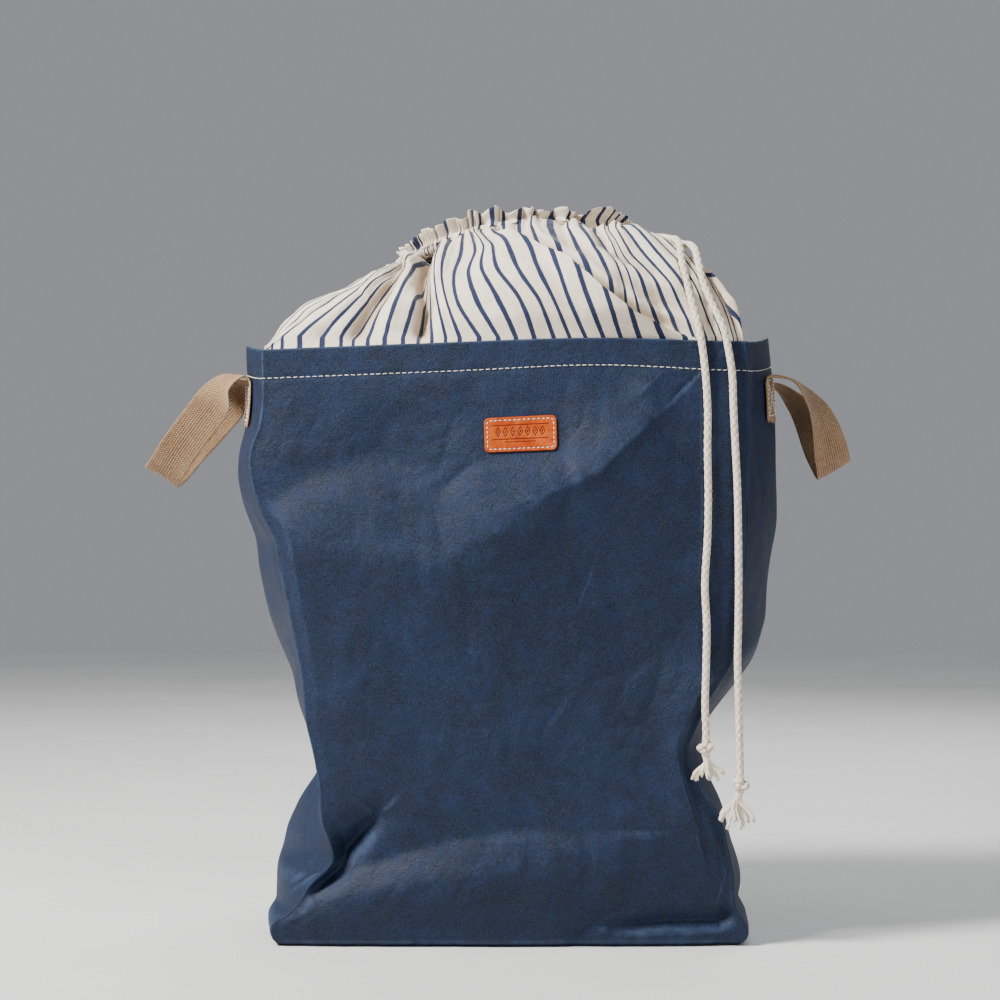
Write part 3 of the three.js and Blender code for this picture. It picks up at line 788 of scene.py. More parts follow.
def scatter_creases(u, z, width, seed, count, low, high):
    """Small straight creases and dents scattered over a side. u runs across it, in mm."""
    rng = np.random.default_rng(seed)
    total = np.zeros(np.shape(u))
    for _ in range(count):
        cu, cz = rng.uniform(0, width), rng.uniform(0, RIM_Z)
        turn = rng.uniform(-1.2, 1.2) if rng.random() < 0.7 else rng.uniform(-math.pi, math.pi)
        long, wide = rng.uniform(18, 70), rng.uniform(5, 16)
        rise = rng.uniform(low, high) * rng.choice([-1, 1])
        du, dz = u - cu, z - cz
        near = (np.abs(du) < 2.5 * long) & (np.abs(dz) < 2.5 * long)
        du, dz = du[near], dz[near]
        a = (du * math.cos(turn) + dz * math.sin(turn)) / long
        b = np.abs(-du * math.sin(turn) + dz * math.cos(turn)) / wide
        total[near] += rise * np.exp(-a * a) * np.exp(-(np.sqrt(b * b + 0.02)) * 1.2)
    return total


# Folds as (line, height, width above, width below, fade at the ends, roundness). Front, by (x, z): the long
# slump, the pocket and bulge over the base, the pinch of the right edge
FRONT_FOLDS = (
    ([(-246, 396), (-150, 374), (-56, 361), (26, 420), (85, 449), (136, 500)], 16, 50, 95, (0.1, 0.1), 4),
    ([(26, 428), (85, 455), (136, 503), (152, 520)], 3.5, 26, 8, (0.3, 0.25), 1),
    ([(-238, 415), (-190, 450), (-130, 470), (-70, 458)], -7, 30, 32, (0.1, 0.3), 3),
    ([(-62, 437), (-34, 460)], -2.6, 8, 10, (0.2, 0.3), 1),
    ([(119, 522), (146, 548), (190, 552)], 2.6, 10, 9, (0.2, 0.3), 1.5),
    ([(40, 415), (95, 340), (140, 250)], -5, 60, 70, (0.2, 0.3), 8),
    ([(-190, 330), (-150, 270), (-160, 190)], 3.5, 30, 30, (0.3, 0.3), 4),
    ([(-196, 56), (-176, 70), (-150, 98), (-126, 124)], -19, 14, 9, (0.06, 0.3), 1.2),
    ([(-196, 58), (-151, 74), (-104, 91), (-56, 104), (10, 114), (90, 112)], -9, 42, 15, (0.05, 0.35), 2.5),
    ([(-206, 34), (-103, 56), (10, 74), (80, 78)], 7, 26, 42, (0.05, 0.4), 5),
    ([(70, 104), (140, 108), (205, 112)], 6, 60, 42, (0.3, 0.1), 6),
    ([(100, 20), (150, 24), (200, 24), (216, 34)], -10, 12, 5, (0.25, 0.05), 0.8),
    ([(62, 10), (84, 34), (112, 48)], -3.5, 9, 9, (0.2, 0.35), 1.5),
    ([(-120, 24), (-40, 18), (40, 20)], -1.6, 12, 7, (0.3, 0.3), 2),
    ([(206, 262), (178, 240), (168, 212), (160, 186), (161, 168), (169, 142), (178, 112)],
     9, 6, 24, (0.12, 0.3), 0.8),
    ([(-150, 560), (-60, 535), (60, 545), (160, 556)], 1.5, 20, 14, (0.3, 0.3), 3),
)
# Gussets, by (distance from the front edge, z)
LEFT_FOLDS = (
    ([(4, 78), (70, 150), (150, 175), (262, 168)], -9, 40, 30, (0.02, 0.1), 3),
    ([(30, 560), (24, 500), (36, 420), (20, 330)], 1.2, 9, 12, (0.1, 0.3), 1.5),
    ([(60, 470), (110, 420), (180, 400), (250, 430)], 5, 40, 34, (0.2, 0.2), 4),
    ([(10, 300), (120, 250), (250, 290)], -5, 40, 40, (0.1, 0.1), 4),
    ([(20, 32), (130, 26), (250, 34)], -4, 8, 6, (0.1, 0.1), 1.5),
)
RIGHT_FOLDS = (
    ([(2, 185), (70, 215), (160, 205), (266, 182)], -11, 34, 40, (0.02, 0.05), 3),
    ([(24, 560), (18, 500), (30, 440)], -2.5, 9, 9, (0.1, 0.3), 1.5),
    ([(10, 262), (90, 300), (190, 330), (262, 300)], 6, 30, 40, (0.1, 0.2), 3),
    ([(30, 430), (120, 400), (230, 440)], 4, 36, 36, (0.2, 0.2), 4),
    ([(10, 40), (120, 30), (250, 38)], -4, 9, 7, (0.1, 0.1), 1.5),
)
# Back, by (distance from its right edge, z)
BACK_FOLDS = (
    ([(20, 430), (130, 370), (250, 400), (420, 470)], 9, 60, 80, (0.1, 0.1), 4),
    ([(30, 90), (140, 120), (280, 100), (430, 80)], -8, 36, 18, (0.1, 0.1), 3),
    ([(60, 50), (200, 66), (380, 52)], 5, 26, 34, (0.1, 0.2), 4),
    ([(250, 400), (300, 300), (280, 200)], -4, 40, 50, (0.2, 0.2), 5),
)
WALL_FOLDS = (FRONT_FOLDS, RIGHT_FOLDS, BACK_FOLDS, LEFT_FOLDS)


def wall_relief(s, z):
    """How far the folds stand out from the wall's smooth shape."""
    side, f = side_of(s)
    u = f * SIDE_LENGTH[side]
    x, _, _, _ = flat_wall(s, z)
    h = np.zeros(np.shape(s))
    edge = np.minimum(f, 1 - f) * SIDE_LENGTH[side]
    on_label = np.exp(-(((x - LABEL["x"]) / 42) ** 4) - (((z - LABEL["z"]) / 26) ** 4)) * (side == 0)
    for n, seed in enumerate((21, 22, 23, 24)):
        here = side == n
        if not here.any():
            continue
        uu, zz = u[here], z[here]
        creases = scatter_creases(uu, zz, SIDE_LENGTH[n], seed, 70 if n % 2 == 0 else 40, 0.1, 0.55)
        soft = fbm(uu / 74, zz / 88, seed + 40, 2) * 1.5 + fbm(uu / 15, zz / 17, seed + 60, 2) * 0.16
        bent_u = uu + 9 * noise(uu / 40, zz / 40, seed + 80)
        bent_z = zz + 9 * noise(uu / 38, zz / 44, seed + 81)
        soft = soft + 1.3 * (np.abs(noise(bent_u / 52, bent_z / 60, seed + 82)) - 0.3)
        soft = soft + 0.7 * (np.abs(noise(bent_u / 21, bent_z / 25, seed + 83)) - 0.3)
        big = fold_sum((x[here], uu, uu, SIDE_LENGTH[3] - uu)[n], zz, WALL_FOLDS[n])
        calm = (1 - on_label[here]) * (1 if n % 2 == 0 else 0.55)
        h[here] = big * (1 - 0.65 * on_label[here]) + (creases + soft) * calm
    h = h * smooth(-2, 16, edge) + 1.3 * np.exp(-edge / 2.2) * smooth(0, 30, z)
    # the turned rim is two plies and stays flatter, with a pucker along its stitches
    below_rim = (RIM_Z - HEM_DROP) - z
    h = h * mix(0.35, 1.0, smooth(-20, 40, below_rim))
    return h - 0.7 * np.exp(-((below_rim / 2.2) ** 2)) * (0.7 + 0.3 * noise(u / 9, z * 0, 77))


def wall(s, z, depth=0.0, round_mm=2.6):
    """Points of the wall. depth goes inward, and the upright edges are rounded."""
    s, z, depth = np.broadcast_arrays(np.asarray(s, float), np.asarray(z, float), np.asarray(depth, float))
    side, _ = side_of(s)
    total = 0
    sums = [0, 0, 0, 0]
    for tap in np.linspace(-1, 1, 7):
        weight = math.exp(-2 * tap * tap)
        parts = flat_wall(s + tap * round_mm / SIDE_LENGTH[side], z)
        sums = [a + weight * b for a, b in zip(sums, parts)]
        total += weight
    x, y, nx, ny = [a / total for a in sums]
    long = np.hypot(nx, ny)
    low = np.clip(BASE_ROUND - z, 0, BASE_ROUND)
    turned_in = BASE_ROUND - np.sqrt(np.clip(BASE_ROUND**2 - low**2, 0, None))
    out = wall_relief(s, z) - depth - turned_in
    lift = rim_rise(s) * smooth(400, RIM_Z, z)
    return np.stack([x + nx / long * out, y + ny / long * out, z + lift], axis=-1)


def dense_ends(count, edge=0.0):
    """Shares from 0 to 1 that crowd towards both ends."""
    t = np.linspace(0, 1, count)
    t = t - 0.45 * np.sin(2 * np.pi * t) / (2 * np.pi)
    return edge + (1 - 2 * edge) * t


# Creases of the front rubbed pale, as (x, z)
WORN_LINES = (
    ((188, 240), (172, 214), (164, 188), (165, 166), (174, 140), (182, 112)),
    ((-188, 60), (-166, 76), (-150, 92)), ((-60, 438), (-34, 459)), ((119, 522), (146, 548), (188, 552)),
    ((64, 322), (76, 350), (86, 384)), ((196, 34), (206, 70), (196, 108)),
)


def worn_edges(points, s, z):
    """Where the cloth is rubbed pale: on sharp outward folds and along the upright edges."""
    first = int(np.floor(s[0, s.shape[1] // 2]))
    side = first % 4
    axis = 1 if side % 2 == 0 else 0
    h = np.abs(points[..., axis])
    spread = 3
    pad = np.pad(h, spread, mode="edge")
    rows, columns = h.shape
    around = sum(pad[spread + a:spread + a + rows, spread + b:spread + b + columns]
                 for a, b in ((-spread, 0), (spread, 0), (0, -spread), (0, spread))) / 4
    sharp = np.clip((h - around - 0.3) * 0.5, 0, 0.35)
    f = s - first
    edge = np.minimum(f, 1 - f) * SIDE_LENGTH[side]
    line = 0.5 * np.exp(-((edge / 1.3) ** 2)) * (0.6 + 0.4 * noise(z / 23, edge * 0, 91))
    rim = 0.5 * np.exp(-(((RIM_Z - z) / 1.4) ** 2))
    if side == 0:
        for path in WORN_LINES:
            d, share = along_line(points[..., 0], points[..., 2], path)
            ends = smooth(0, 0.2, share) * smooth(0, 0.2, 1 - share)
            line = np.maximum(line, 0.3 * np.exp(-((d / 0.9) ** 2)) * ends)
    sharp = sharp * smooth(3, 14, edge) * smooth(0, 12, RIM_Z - z)
    return np.clip(sharp + line + rim, 0, 1)


def build_walls():
    names = ("front_panel", "right_gusset", "back_panel", "left_gusset")
    for n, name in enumerate(names):
        columns, count = (250, 270) if n == 0 else (140, 190)
        rows = np.concatenate([np.linspace(0.3, 12, 9), np.linspace(14.5, RIM_Z - 4, count),
                               RIM_Z - np.array([2.6, 1.4, 0.6, 0.1])])
        shares = dense_ends(columns, 0.12 / SIDE_LENGTH[n])
        s, z = np.meshgrid(n + shares, rows)
        roll = np.clip(1.4 - (RIM_Z - z), 0, 1.4) ** 2 * 0.35
        outer = clear_of_cords(wall(s, z, roll), 0.5)
        inner = clear_of_cords(wall(s, z, CLOTH - roll * 0.6), 0.5, CLOTH)
        uv = np.stack([shares * SIDE_LENGTH[n] + n * 700 + 0 * z, z], axis=-1) * MM
        panel = shell(f"{name}_cloth", outer, inner, navy, uv, {"worn": worn_edges(outer, s, z)})
        dress(panel, "navy_paper", name)


def build_base():
    """The floor of the sack, with a soft turned-up edge under the walls."""
    rings = []
    for share, z in ((0.0, 0.0), (0.35, 0.0), (0.7, 0.0), (0.93, 0.0), (0.985, 0.05), (1.0, 0.6)):
        s = np.concatenate([n + np.linspace(0, 1, 60, endpoint=False) for n in range(4)])
        rim = wall(s, np.full(len(s), 0.3), CLOTH * 0.5)
        middle = rim.mean(axis=0)
        ring = mix(middle, rim, max(share, 0.001))
        ring[:, 2] = z
        rings.append(ring)
    grid = np.array(rings)
    upper = grid + np.array([0, 0, 1.3])
    uv = grid[..., :2] * MM
    base = shell("base_panel_cloth", upper, grid, navy, uv, {"worn": np.zeros(grid.shape[:2])}, wrap=True)
    dress(base, "navy_paper", "base_panel")


def build_rim():
    """The facing inside the rim and the cream stitches that hold it."""
    s = np.concatenate([n + dense_ends(110)[:-1] for n in range(4)])
    rows = np.concatenate([np.linspace(RIM_Z - HEM_DROP - 4, RIM_Z - 4, 12),
                           RIM_Z - np.array([2.6, 1.4, 0.7, 0.35])])
    ss, zz = np.meshgrid(s, rows)
    near_top = np.clip(1.4 - (RIM_Z - zz), 0, 1.4) ** 2 * 0.3
    outer = clear_of_cords(wall(ss, zz, FACING_DEPTH - 0.25 - near_top), 0.5, FACING_DEPTH)
    inner = clear_of_cords(wall(ss, zz, FACING_DEPTH + 0.9 - near_top * 0.4), 0.5, FACING_DEPTH + 1)
    uv = np.stack([ss * 380, zz], axis=-1) * MM
    worn = 0.6 * np.exp(-(((RIM_Z - zz) / 1.2) ** 2))
    facing = shell("rim_facing_cloth", outer, inner, navy, uv, {"worn": worn}, wrap=True)
    dress(facing, "navy_paper", "rim_facing")
    s = np.linspace(-0.03, 3.97, 1500)
    drop = HEM_DROP + 1.1 * noise(s * 2.2, s * 0, 61) - 2.2 * np.exp(-(((np.mod(s, 4) - 0.7) / 0.2) ** 2))
    z = np.full(len(s), float(RIM_Z)) - drop
    line = clear_of_cords(wall(s, z, -0.1), 0.05)
    inside = wall(s, z, 4.0)
    row = stitches("rim_stitches", line, unit(line - inside), thread, 4.6, 1.5, 0.36)
    dress(row, "cream_thread", "rim_thread")


# ---------------------------------------------------------------- collar
COLLAR_ROUND = 1480.0  # cut length round the sack
PLEAT = 15.5  # length of cloth in one gather at the mouth
PLEAT_SEED = 301
BEHIND_FIRST = 19.5  # stripes from the first one ahead of the long fold to the first one behind it
BACK_START = 700  # length of cloth where the back half begins
FOLD_SPLIT = -9  # x at the mouth where the cloth behind the long fold takes over
LONG_FOLD = [(-12, 690), (16, 671), (38, 656), (62, 643), (89, 621), (120, 602), (148, 590), (182, 577)]
# Where each stripe of the front lies: x in mm at the heights below, one row per stripe from the left
STRIPE_HEIGHTS = (580, 608, 635, 662, 690)
STRIPES_AHEAD = (
    (-241, -218, -172, -134, -106), (-234, -209, -162, -126, -101), (-226, -197, -153, -119, -97),
    (-217, -180, -145, -113, -92), (-200, -160, -134, -107, -88), (-178, -150, -128, -104.5, -86),
    (-160, -140, -122.5, -102, -84), (-149, -132, -117, -99, -82.5), (-135, -125, -111, -96, -81),
    (-119, -109, -100, -91, -78), (-101, -92, -84, -81, -76), (-87, -83, -80, -78, -74),
    (-74, -76, -76.5, -74.5, -71.5), (-61, -68, -72, -71, -68), (-48, -59, -65, -63, -58),
    (-29, -49, -53, -47, -46), (-11, -30, -37, -32, -38), (6, -9, -23, -22, -34), (23, 12, -8, -14, -29),
    (42, 30, 12, 1, -16), (57, 44, 31, 21, -1), (72, 58, 49, 38, 16), (89, 76, 67, 56, 36),
    (105, 94, 83, 72, 54), (123, 111, 99, 86, 70), (145, 129, 115, 101, 87), (167, 150, 132, 117, 102),
    (184, 168, 148, 132, 114), (200, 186, 165, 147, 126), (214, 203, 182, 161, 138),
    (226, 216, 198, 176, 150),
)
STRIPES_BEHIND = (
    (-6, -8, -12, -18, -24), (10, 8, 4, -4, -12), (28, 25, 18, 10, 2), (45, 40, 33, 24, 18),
    (63, 58, 52, 41, 29), (79, 74, 69, 59, 53), (98, 92, 88, 77, 62), (115, 107, 104, 91, 78),
    (128, 118, 112, 100, 91), (143, 128, 119, 106, 95.5), (157, 144, 132, 112, 99.5),
    (170, 159, 143, 122.5, 108), (182, 171, 153, 135, 116), (193, 182, 168, 147, 124),
    (200, 190, 177, 160, 135), (206, 197, 184, 168, 142), (211, 203, 190, 174, 148),
    (215, 208, 195, 179, 153), (219, 213, 200, 184, 158),
)
# The folds of the collar that show from the front, as in FRONT_FOLDS. The last four are fine ones at the right
COLLAR_FOLDS = (
    ([(-79, 690), (-84, 662), (-84, 634), (-79, 614), (-85, 580)], -24, 9, 6.5, (0.04, 0.3), 1.2),
    ([(-96, 668), (-104, 630), (-115, 585)], 8, 11, 9, (0.1, 0.1), 2),
    ([(-102, 660), (-120, 629), (-136, 603), (-150, 580)], -13, 9, 6, (0.05, 0.2), 1.0),
    ([(-118, 650), (-140, 622), (-164, 592), (-180, 578)], 6, 10, 8, (0.1, 0.2), 2),
    ([(-138, 622), (-160, 596), (-184, 577)], -7, 7, 5, (0.1, 0.2), 1),
    ([(-168, 616), (-190, 604), (-208, 592)], -4, 6, 6, (0.2, 0.2), 1),
    ([(-196, 600), (-212, 590), (-230, 580)], -3.5, 4, 4, (0.2, 0.2), 0.8),
    ([(-66, 640), (-66, 612), (-54, 590)], -4, 5, 5, (0.2, 0.2), 1),
    ([(-62, 634), (-40, 622), (0, 612), (40, 604)], 3, 16, 22, (0.2, 0.3), 4),
    ([(22, 700), (34, 676), (60, 652), (92, 630), (140, 597)], 8, 7, 8, (0.1, 0.2), 1.5),
    ([(84, 664), (100, 650), (132, 634), (168, 622)], 9, 18, 8, (0.15, 0.2), 1.5),
    ([(108, 622), (122, 600), (132, 588)], -3.5, 6, 6, (0.2, 0.2), 1.2),
    ([(140, 618), (148, 600), (152, 588)], -3.5, 6, 6, (0.2, 0.2), 1.2),
    ([(74, 706), (86, 690), (92, 668), (112, 652)], -9, 7, 6, (0.1, 0.3), 1.2),
    ([(100, 706), (128, 680), (160, 650), (178, 630)], 4, 9, 14, (0.1, 0.2), 2),
) + tuple(
    ([(186 + 8 * n, 640 - 7 * n), (190 + 8 * n, 610), (190 + 8 * n + lean, 582)], -3, 3, 3, (0.2, 0.1), 0.6)
    for n, lean in enumerate((0, -4, -2, 3))
)


def stripe_place(x, z, lines, first):
    """The length of cloth at (x, z), found from the stripes on both sides of it."""
    table = np.array(lines, float)
    at = np.clip(z.ravel(), STRIPE_HEIGHTS[0], STRIPE_HEIGHTS[-1])
    heights = np.array(STRIPE_HEIGHTS, float)
    slope = np.gradient(table, heights, axis=1)
    k = np.clip(np.searchsorted(heights, at, side="right") - 1, 0, 3)
    h = (heights[k + 1] - heights[k])[:, None]
    u = ((at - heights[k])[:, None]) / h
    xs = (table[:, k].T * (1 + 2 * u) * (1 - u) ** 2 + slope[:, k].T * h * u * (1 - u) ** 2
          + table[:, k + 1].T * u * u * (3 - 2 * u) + slope[:, k + 1].T * h * u * u * (u - 1))
    xs = np.maximum.accumulate(xs, axis=1) + np.arange(xs.shape[1]) * 0.05
    px = x.ravel()[:, None]
    i = np.clip((xs < px).sum(axis=1) - 1, 0, xs.shape[1] - 2)[:, None]
    low, high = np.take_along_axis(xs, i, 1), np.take_along_axis(xs, i + 1, 1)
    place = i + np.clip((px - low) / (high - low), -30, 30)
    return ((place[:, 0] + first + 0.5) * STRIPE_PITCH).reshape(x.shape)


def mouth_point(turn, spread=0.0):
    c = np.cos(turn)
    x = MOUTH["x"] + (MOUTH["a"] + spread) * c
    y = MOUTH["y"] + (MOUTH["b"] + spread) * np.sin(turn)
    z = MOUTH["z"] + MOUTH["rise"] * c - MOUTH["droop"] * c * c
    return np.stack([x, y, z + 0 * x], axis=-1)


def draw_in(s):
    side, f = side_of(s)
    return np.choose(side, DRAW_IN) * np.sin(np.pi * f)


def collar_shape(s, v):
    """The collar's smooth shape, from the rim (v = 0) up and in to the mouth (v = 1)."""
    turn = np.pi * (1.25 + s / 2)
    up = np.clip(v, 0, 1)
    low = wall(s, np.full(np.shape(s), float(RIM_Z)), COLLAR_DEPTH + draw_in(s) + 0.6)
    high = mouth_point(turn, COLLAR_REACH)
    straight = mix(0.86, 0.12, smooth(-0.25, 0.5, np.cos(turn))) + 0.25 * smooth(0.6, 1.0, np.cos(turn))
    inwards = mix(1 - np.cos(np.pi / 2 * up), up, straight)
    x = mix(low[..., 0], high[..., 0], inwards)
    y = mix(low[..., 1], high[..., 1], inwards)
    z = mix(low[..., 2], high[..., 2] - COLLAR_STEP, mix(np.sin(np.pi / 2 * up), up, straight))
    z = z + np.minimum(v, 0) * COLLAR_TUCK
    return np.stack([x, y, z], axis=-1)


def pleat_count(c, width, seed):
    """How many pleats of uneven width lie before a length of cloth."""
    return c / width + 0.33 * noise(c / width * 0.7, c * 0, seed)


def pleats(c, width, seed, sharp=0.7):
    """Rounded ridges with narrow valleys between them, about width apart along the cloth."""
    t = pleat_count(c, width, seed)
    n = np.floor(t).astype(int)
    sizes = 0.55 + 0.45 * np.random.default_rng(seed + 1).random(211)
    return np.abs(np.sin(np.pi * t)) ** sharp * sizes[n % 211] - 0.45


def collar_cloth(s, v, x, z):
    """Lengths of cloth in front of and behind the long fold, at a place of the front half."""
    beyond = np.minimum(s + 0.1, 0) + np.maximum(s - 1.0, 0)
    crowd = 46 * np.tanh(beyond / 0.06)  # pleats bunched at the corners take up extra cloth
    side = (beyond * 270 + crowd) * mix(1.0, 0.35, np.clip(v, 0, 1))
    return (stripe_place(x, z, STRIPES_AHEAD, 0) + side,
            stripe_place(x, z, STRIPES_BEHIND, BEHIND_FIRST) + side)


def soften(h, reaches):
    """Averages over a few neighbours, twice along each axis. reaches holds (axis, neighbours each way)."""
    for axis, reach in reaches:
        for _ in range(2):
            pad = np.pad(h, [(reach, reach) if k == axis else (0, 0) for k in (0, 1)], mode="edge")
            total = np.insert(np.cumsum(pad, axis=axis), 0, 0, axis=axis)
            n = h.shape[axis]
            h = (np.take(total, np.arange(n) + 2 * reach + 1, axis=axis)
                 - np.take(total, np.arange(n), axis=axis)) / (2 * reach + 1)
    return h


def collar_surface(s, v, back=False):
    """The collar's points and outward directions, its lengths of cloth ahead of and behind the long fold,
    the distance from that fold, and a painted shade mask that grows the further down in a valley each point
    lies."""
    p = collar_shape(s, v)
    normal = unit(np.cross(np.gradient(p, axis=1), np.gradient(p, axis=0)))
    x, y, z = p[..., 0], p[..., 1], p[..., 2]
    d, share = along_line(x, z, LONG_FOLD)
    front = smooth(30, -30, y)
    puff = smooth(1.2, -1.2, d)  # 1 in front of and below the long fold
    if back:
        ahead = behind = BACK_START + (s - 1.5) * COLLAR_ROUND / 4
        puff = puff * 0
    else:
        corner = collar_shape(np.clip(s, -0.1, 1.0), v)
        ahead, behind = collar_cloth(s, v, corner[..., 0], corner[..., 2])
    c = np.where(d < 0, ahead, behind)
    up = np.clip(v, 0, 1)
    near = 1 - up
    fine = pleats(c, PLEAT, PLEAT_SEED) * np.exp(-((near / 0.22) ** 1.2))
    middle = pleats(c + 9, 36, 305, 0.8) * np.exp(-((near / 0.45) ** 1.5)) * smooth(0, 0.2, up)
    calm = 1 - 0.6 * np.exp(-(((x - 30) / 80) ** 2) - (((z - 620) / 34) ** 2)) * front
    h = pleats(c - 20, 118, 309, 1.0) * 9 * np.sin(np.pi * np.clip(up * 0.9 + 0.08, 0, 1)) * calm
    h = h + fbm(c / 38, up * 4, 320, 3) * 1.3
    h = h + (10 * smooth(0, 0.38, up) * smooth(1.0, 0.5, up) * front * smooth(-120, -60, x)
             * smooth(140, 70, x) * (0.4 + 0.6 * puff))
    # the long diagonal fold: puffed cloth in front of it hides the cloth behind
    fade = smooth(-0.02, 0.14, share) * mix(1, 0.5, smooth(0.7, 1.0, share)) * front
    back_off = np.clip(d, 0, None)
    ahead_h = 18 * np.exp(-np.clip(-d, 0, None) / 60)
    behind_h = (-(13 + 8 * smooth(0.5, 0.1, share)) * np.exp(-back_off / 15)
                + 6.5 * np.exp(-(((d - 13) / 6) ** 2)) * smooth(0.05, 0.25, share))
    h = h + fade * mix(behind_h, ahead_h, puff)
    # the front left corner puffs out over the rim
    corner_turn = np.mod(s + 2.1, 4) - 2
    h = h + 12 * np.exp(-((corner_turn / 0.3) ** 2)) * np.sin(np.pi * np.clip(up / 0.6, 0, 1)) ** 1.2
    if not back:
        h = h + fold_sum(x, z, COLLAR_FOLDS) * front
    h = h * smooth(-0.02, 0.14, v)
    # painted shade: points that lie below their softened neighbours, behind the long fold and in the pleat
    # valleys darken the cream
    painted_fold_shade = np.clip((soften(h, ((1, 9), (0, 5))) - h) / 3.0, 0, 1)
    ruck = (fine * 7 + middle * 9) * smooth(-0.02, 0.14, v)
    painted_fold_shade = np.clip(painted_fold_shade + np.clip(-0.08 - fine, 0, 1) * 1.9 + np.clip(-0.1 - middle, 0, 1) * 1.3, 0, 1)
    level = unit(normal * np.array([1, 1, 0.3]))
    return p + normal * h[..., None] + level * ruck[..., None], normal, ahead, behind, d, painted_fold_shade


def collar_uv(c, p):
    """Cloth coordinates: round the collar, and up it from the rim."""
    step = np.linalg.norm(np.diff(p, axis=0), axis=2)
    up = np.concatenate([np.zeros((1, p.shape[1])), np.cumsum(step, axis=0)])
    return np.stack([c, up], axis=-1) * MM


def build_collar():
    rows = np.concatenate([np.linspace(-1, -0.05, 7), np.linspace(0, 1, 150) ** 0.95])
    half = 0.0012
    for name, start in (("collar_front", -0.5), ("collar_back", 1.5)):
        columns = 520 if start < 0 else 300
        s, v = np.meshgrid(start + np.linspace(half, 2 - half, columns), rows)
        outer, normal, ahead, behind, d, painted_fold_shade = collar_surface(s, v, start > 0)
        outer = clear_of_cords(outer, 0.6, 0.0, (0, 0.25, -0.6))
        inner = outer - normal * COLLAR_CLOTH
        # the painted fold shade rides on the cloth as a vertex value
        sheet = shell(f"{name}_cloth", outer, inner, cotton, collar_uv(behind, outer), {"painted_fold_shade": painted_fold_shade}, False,
                      collar_uv(ahead, outer), d < 0)
        dress(sheet, "striped_cotton", name)


def mouth_cloth(turn):
    """The length of cloth at a turn of the mouth, in radians."""
    p = mouth_point(turn)
    x, z = p[:, 0], np.maximum(p[:, 2], 686)
    front = np.where(x < FOLD_SPLIT, stripe_place(x, z, STRIPES_AHEAD, 0),
                     stripe_place(x, z, STRIPES_BEHIND, BEHIND_FIRST))
    rear = BACK_START + np.degrees(np.mod(turn, 2 * np.pi)) / 180 * 560
    return np.where(np.sin(turn) < 0, front, rear)


def build_mouth():
    """The casing pinched round the drawcord, and the drawcord in it."""
    turn = np.linspace(0, 2 * np.pi, 1600, endpoint=False)
    c = mouth_cloth(turn)
    gather = pleats(c, PLEAT, PLEAT_SEED)
    around = np.linspace(-1.7, 1.45, 16)  # from the collar's top edge, out round the cord, to the ruffle
    exit_from, exit_to = CASING_EXIT
    degrees = np.degrees(turn)
    out = unit(mouth_point(turn, 10) - mouth_point(turn, -10))
    rows = []
    for a in around:
        rough = 0.5 * noise(turn * 40, a * 2 + turn * 0, 41)
        r = CORD_R + 1.6 + gather * 2.6 * (0.65 + 0.35 * math.cos(a)) + rough
        r = np.clip(r, CORD_R + 0.6, None)
        p = mouth_point(turn) + out * (r * math.cos(a))[:, None]
        p[:, 2] += r * math.sin(a)
        rows.append(p)
    outer = np.array(rows)
    inner = outer + unit(mouth_point(turn)[None] - outer) * 0.5
    size = outer.shape[:2]
    uv = np.stack([np.broadcast_to(c, size), 215 + np.broadcast_to(around[:, None] * 4, size)], axis=-1) * MM
    closed = (degrees <= exit_to % 360) | (degrees >= exit_from)
    first = np.argmax(closed & ~np.roll(closed, 1))
    index = [(first + k) % len(turn) for k in range(int(closed.sum()))]
    casing = shell("mouth_casing_cloth", outer[:, index], inner[:, index], cotton, uv[:, index])
    dress(casing, "striped_cotton", "mouth_casing")
    ring_turn = np.radians(np.linspace(exit_from, exit_to, 520))
    ring = build_cord("drawcord_in_casing", mouth_point(ring_turn), CORD_R - 0.15)
    dress(ring, "cotton_cord", "drawcord_ring")


# How tall the ruffle stands along the front, as (x, height)
RUFFLE_TOP = [(-106, 6), (-92, 8), (-82, 12), (-68, 12), (-52, 15), (-42, 11), (-35, 18), (-26, 11),
              (-14, 15), (0, 7), (15, 11), (26, 6), (38, 4.5), (48, 9), (57, 8.5), (66, 4), (76, 10),
              (86, 14), (98, 12), (110, 8)]


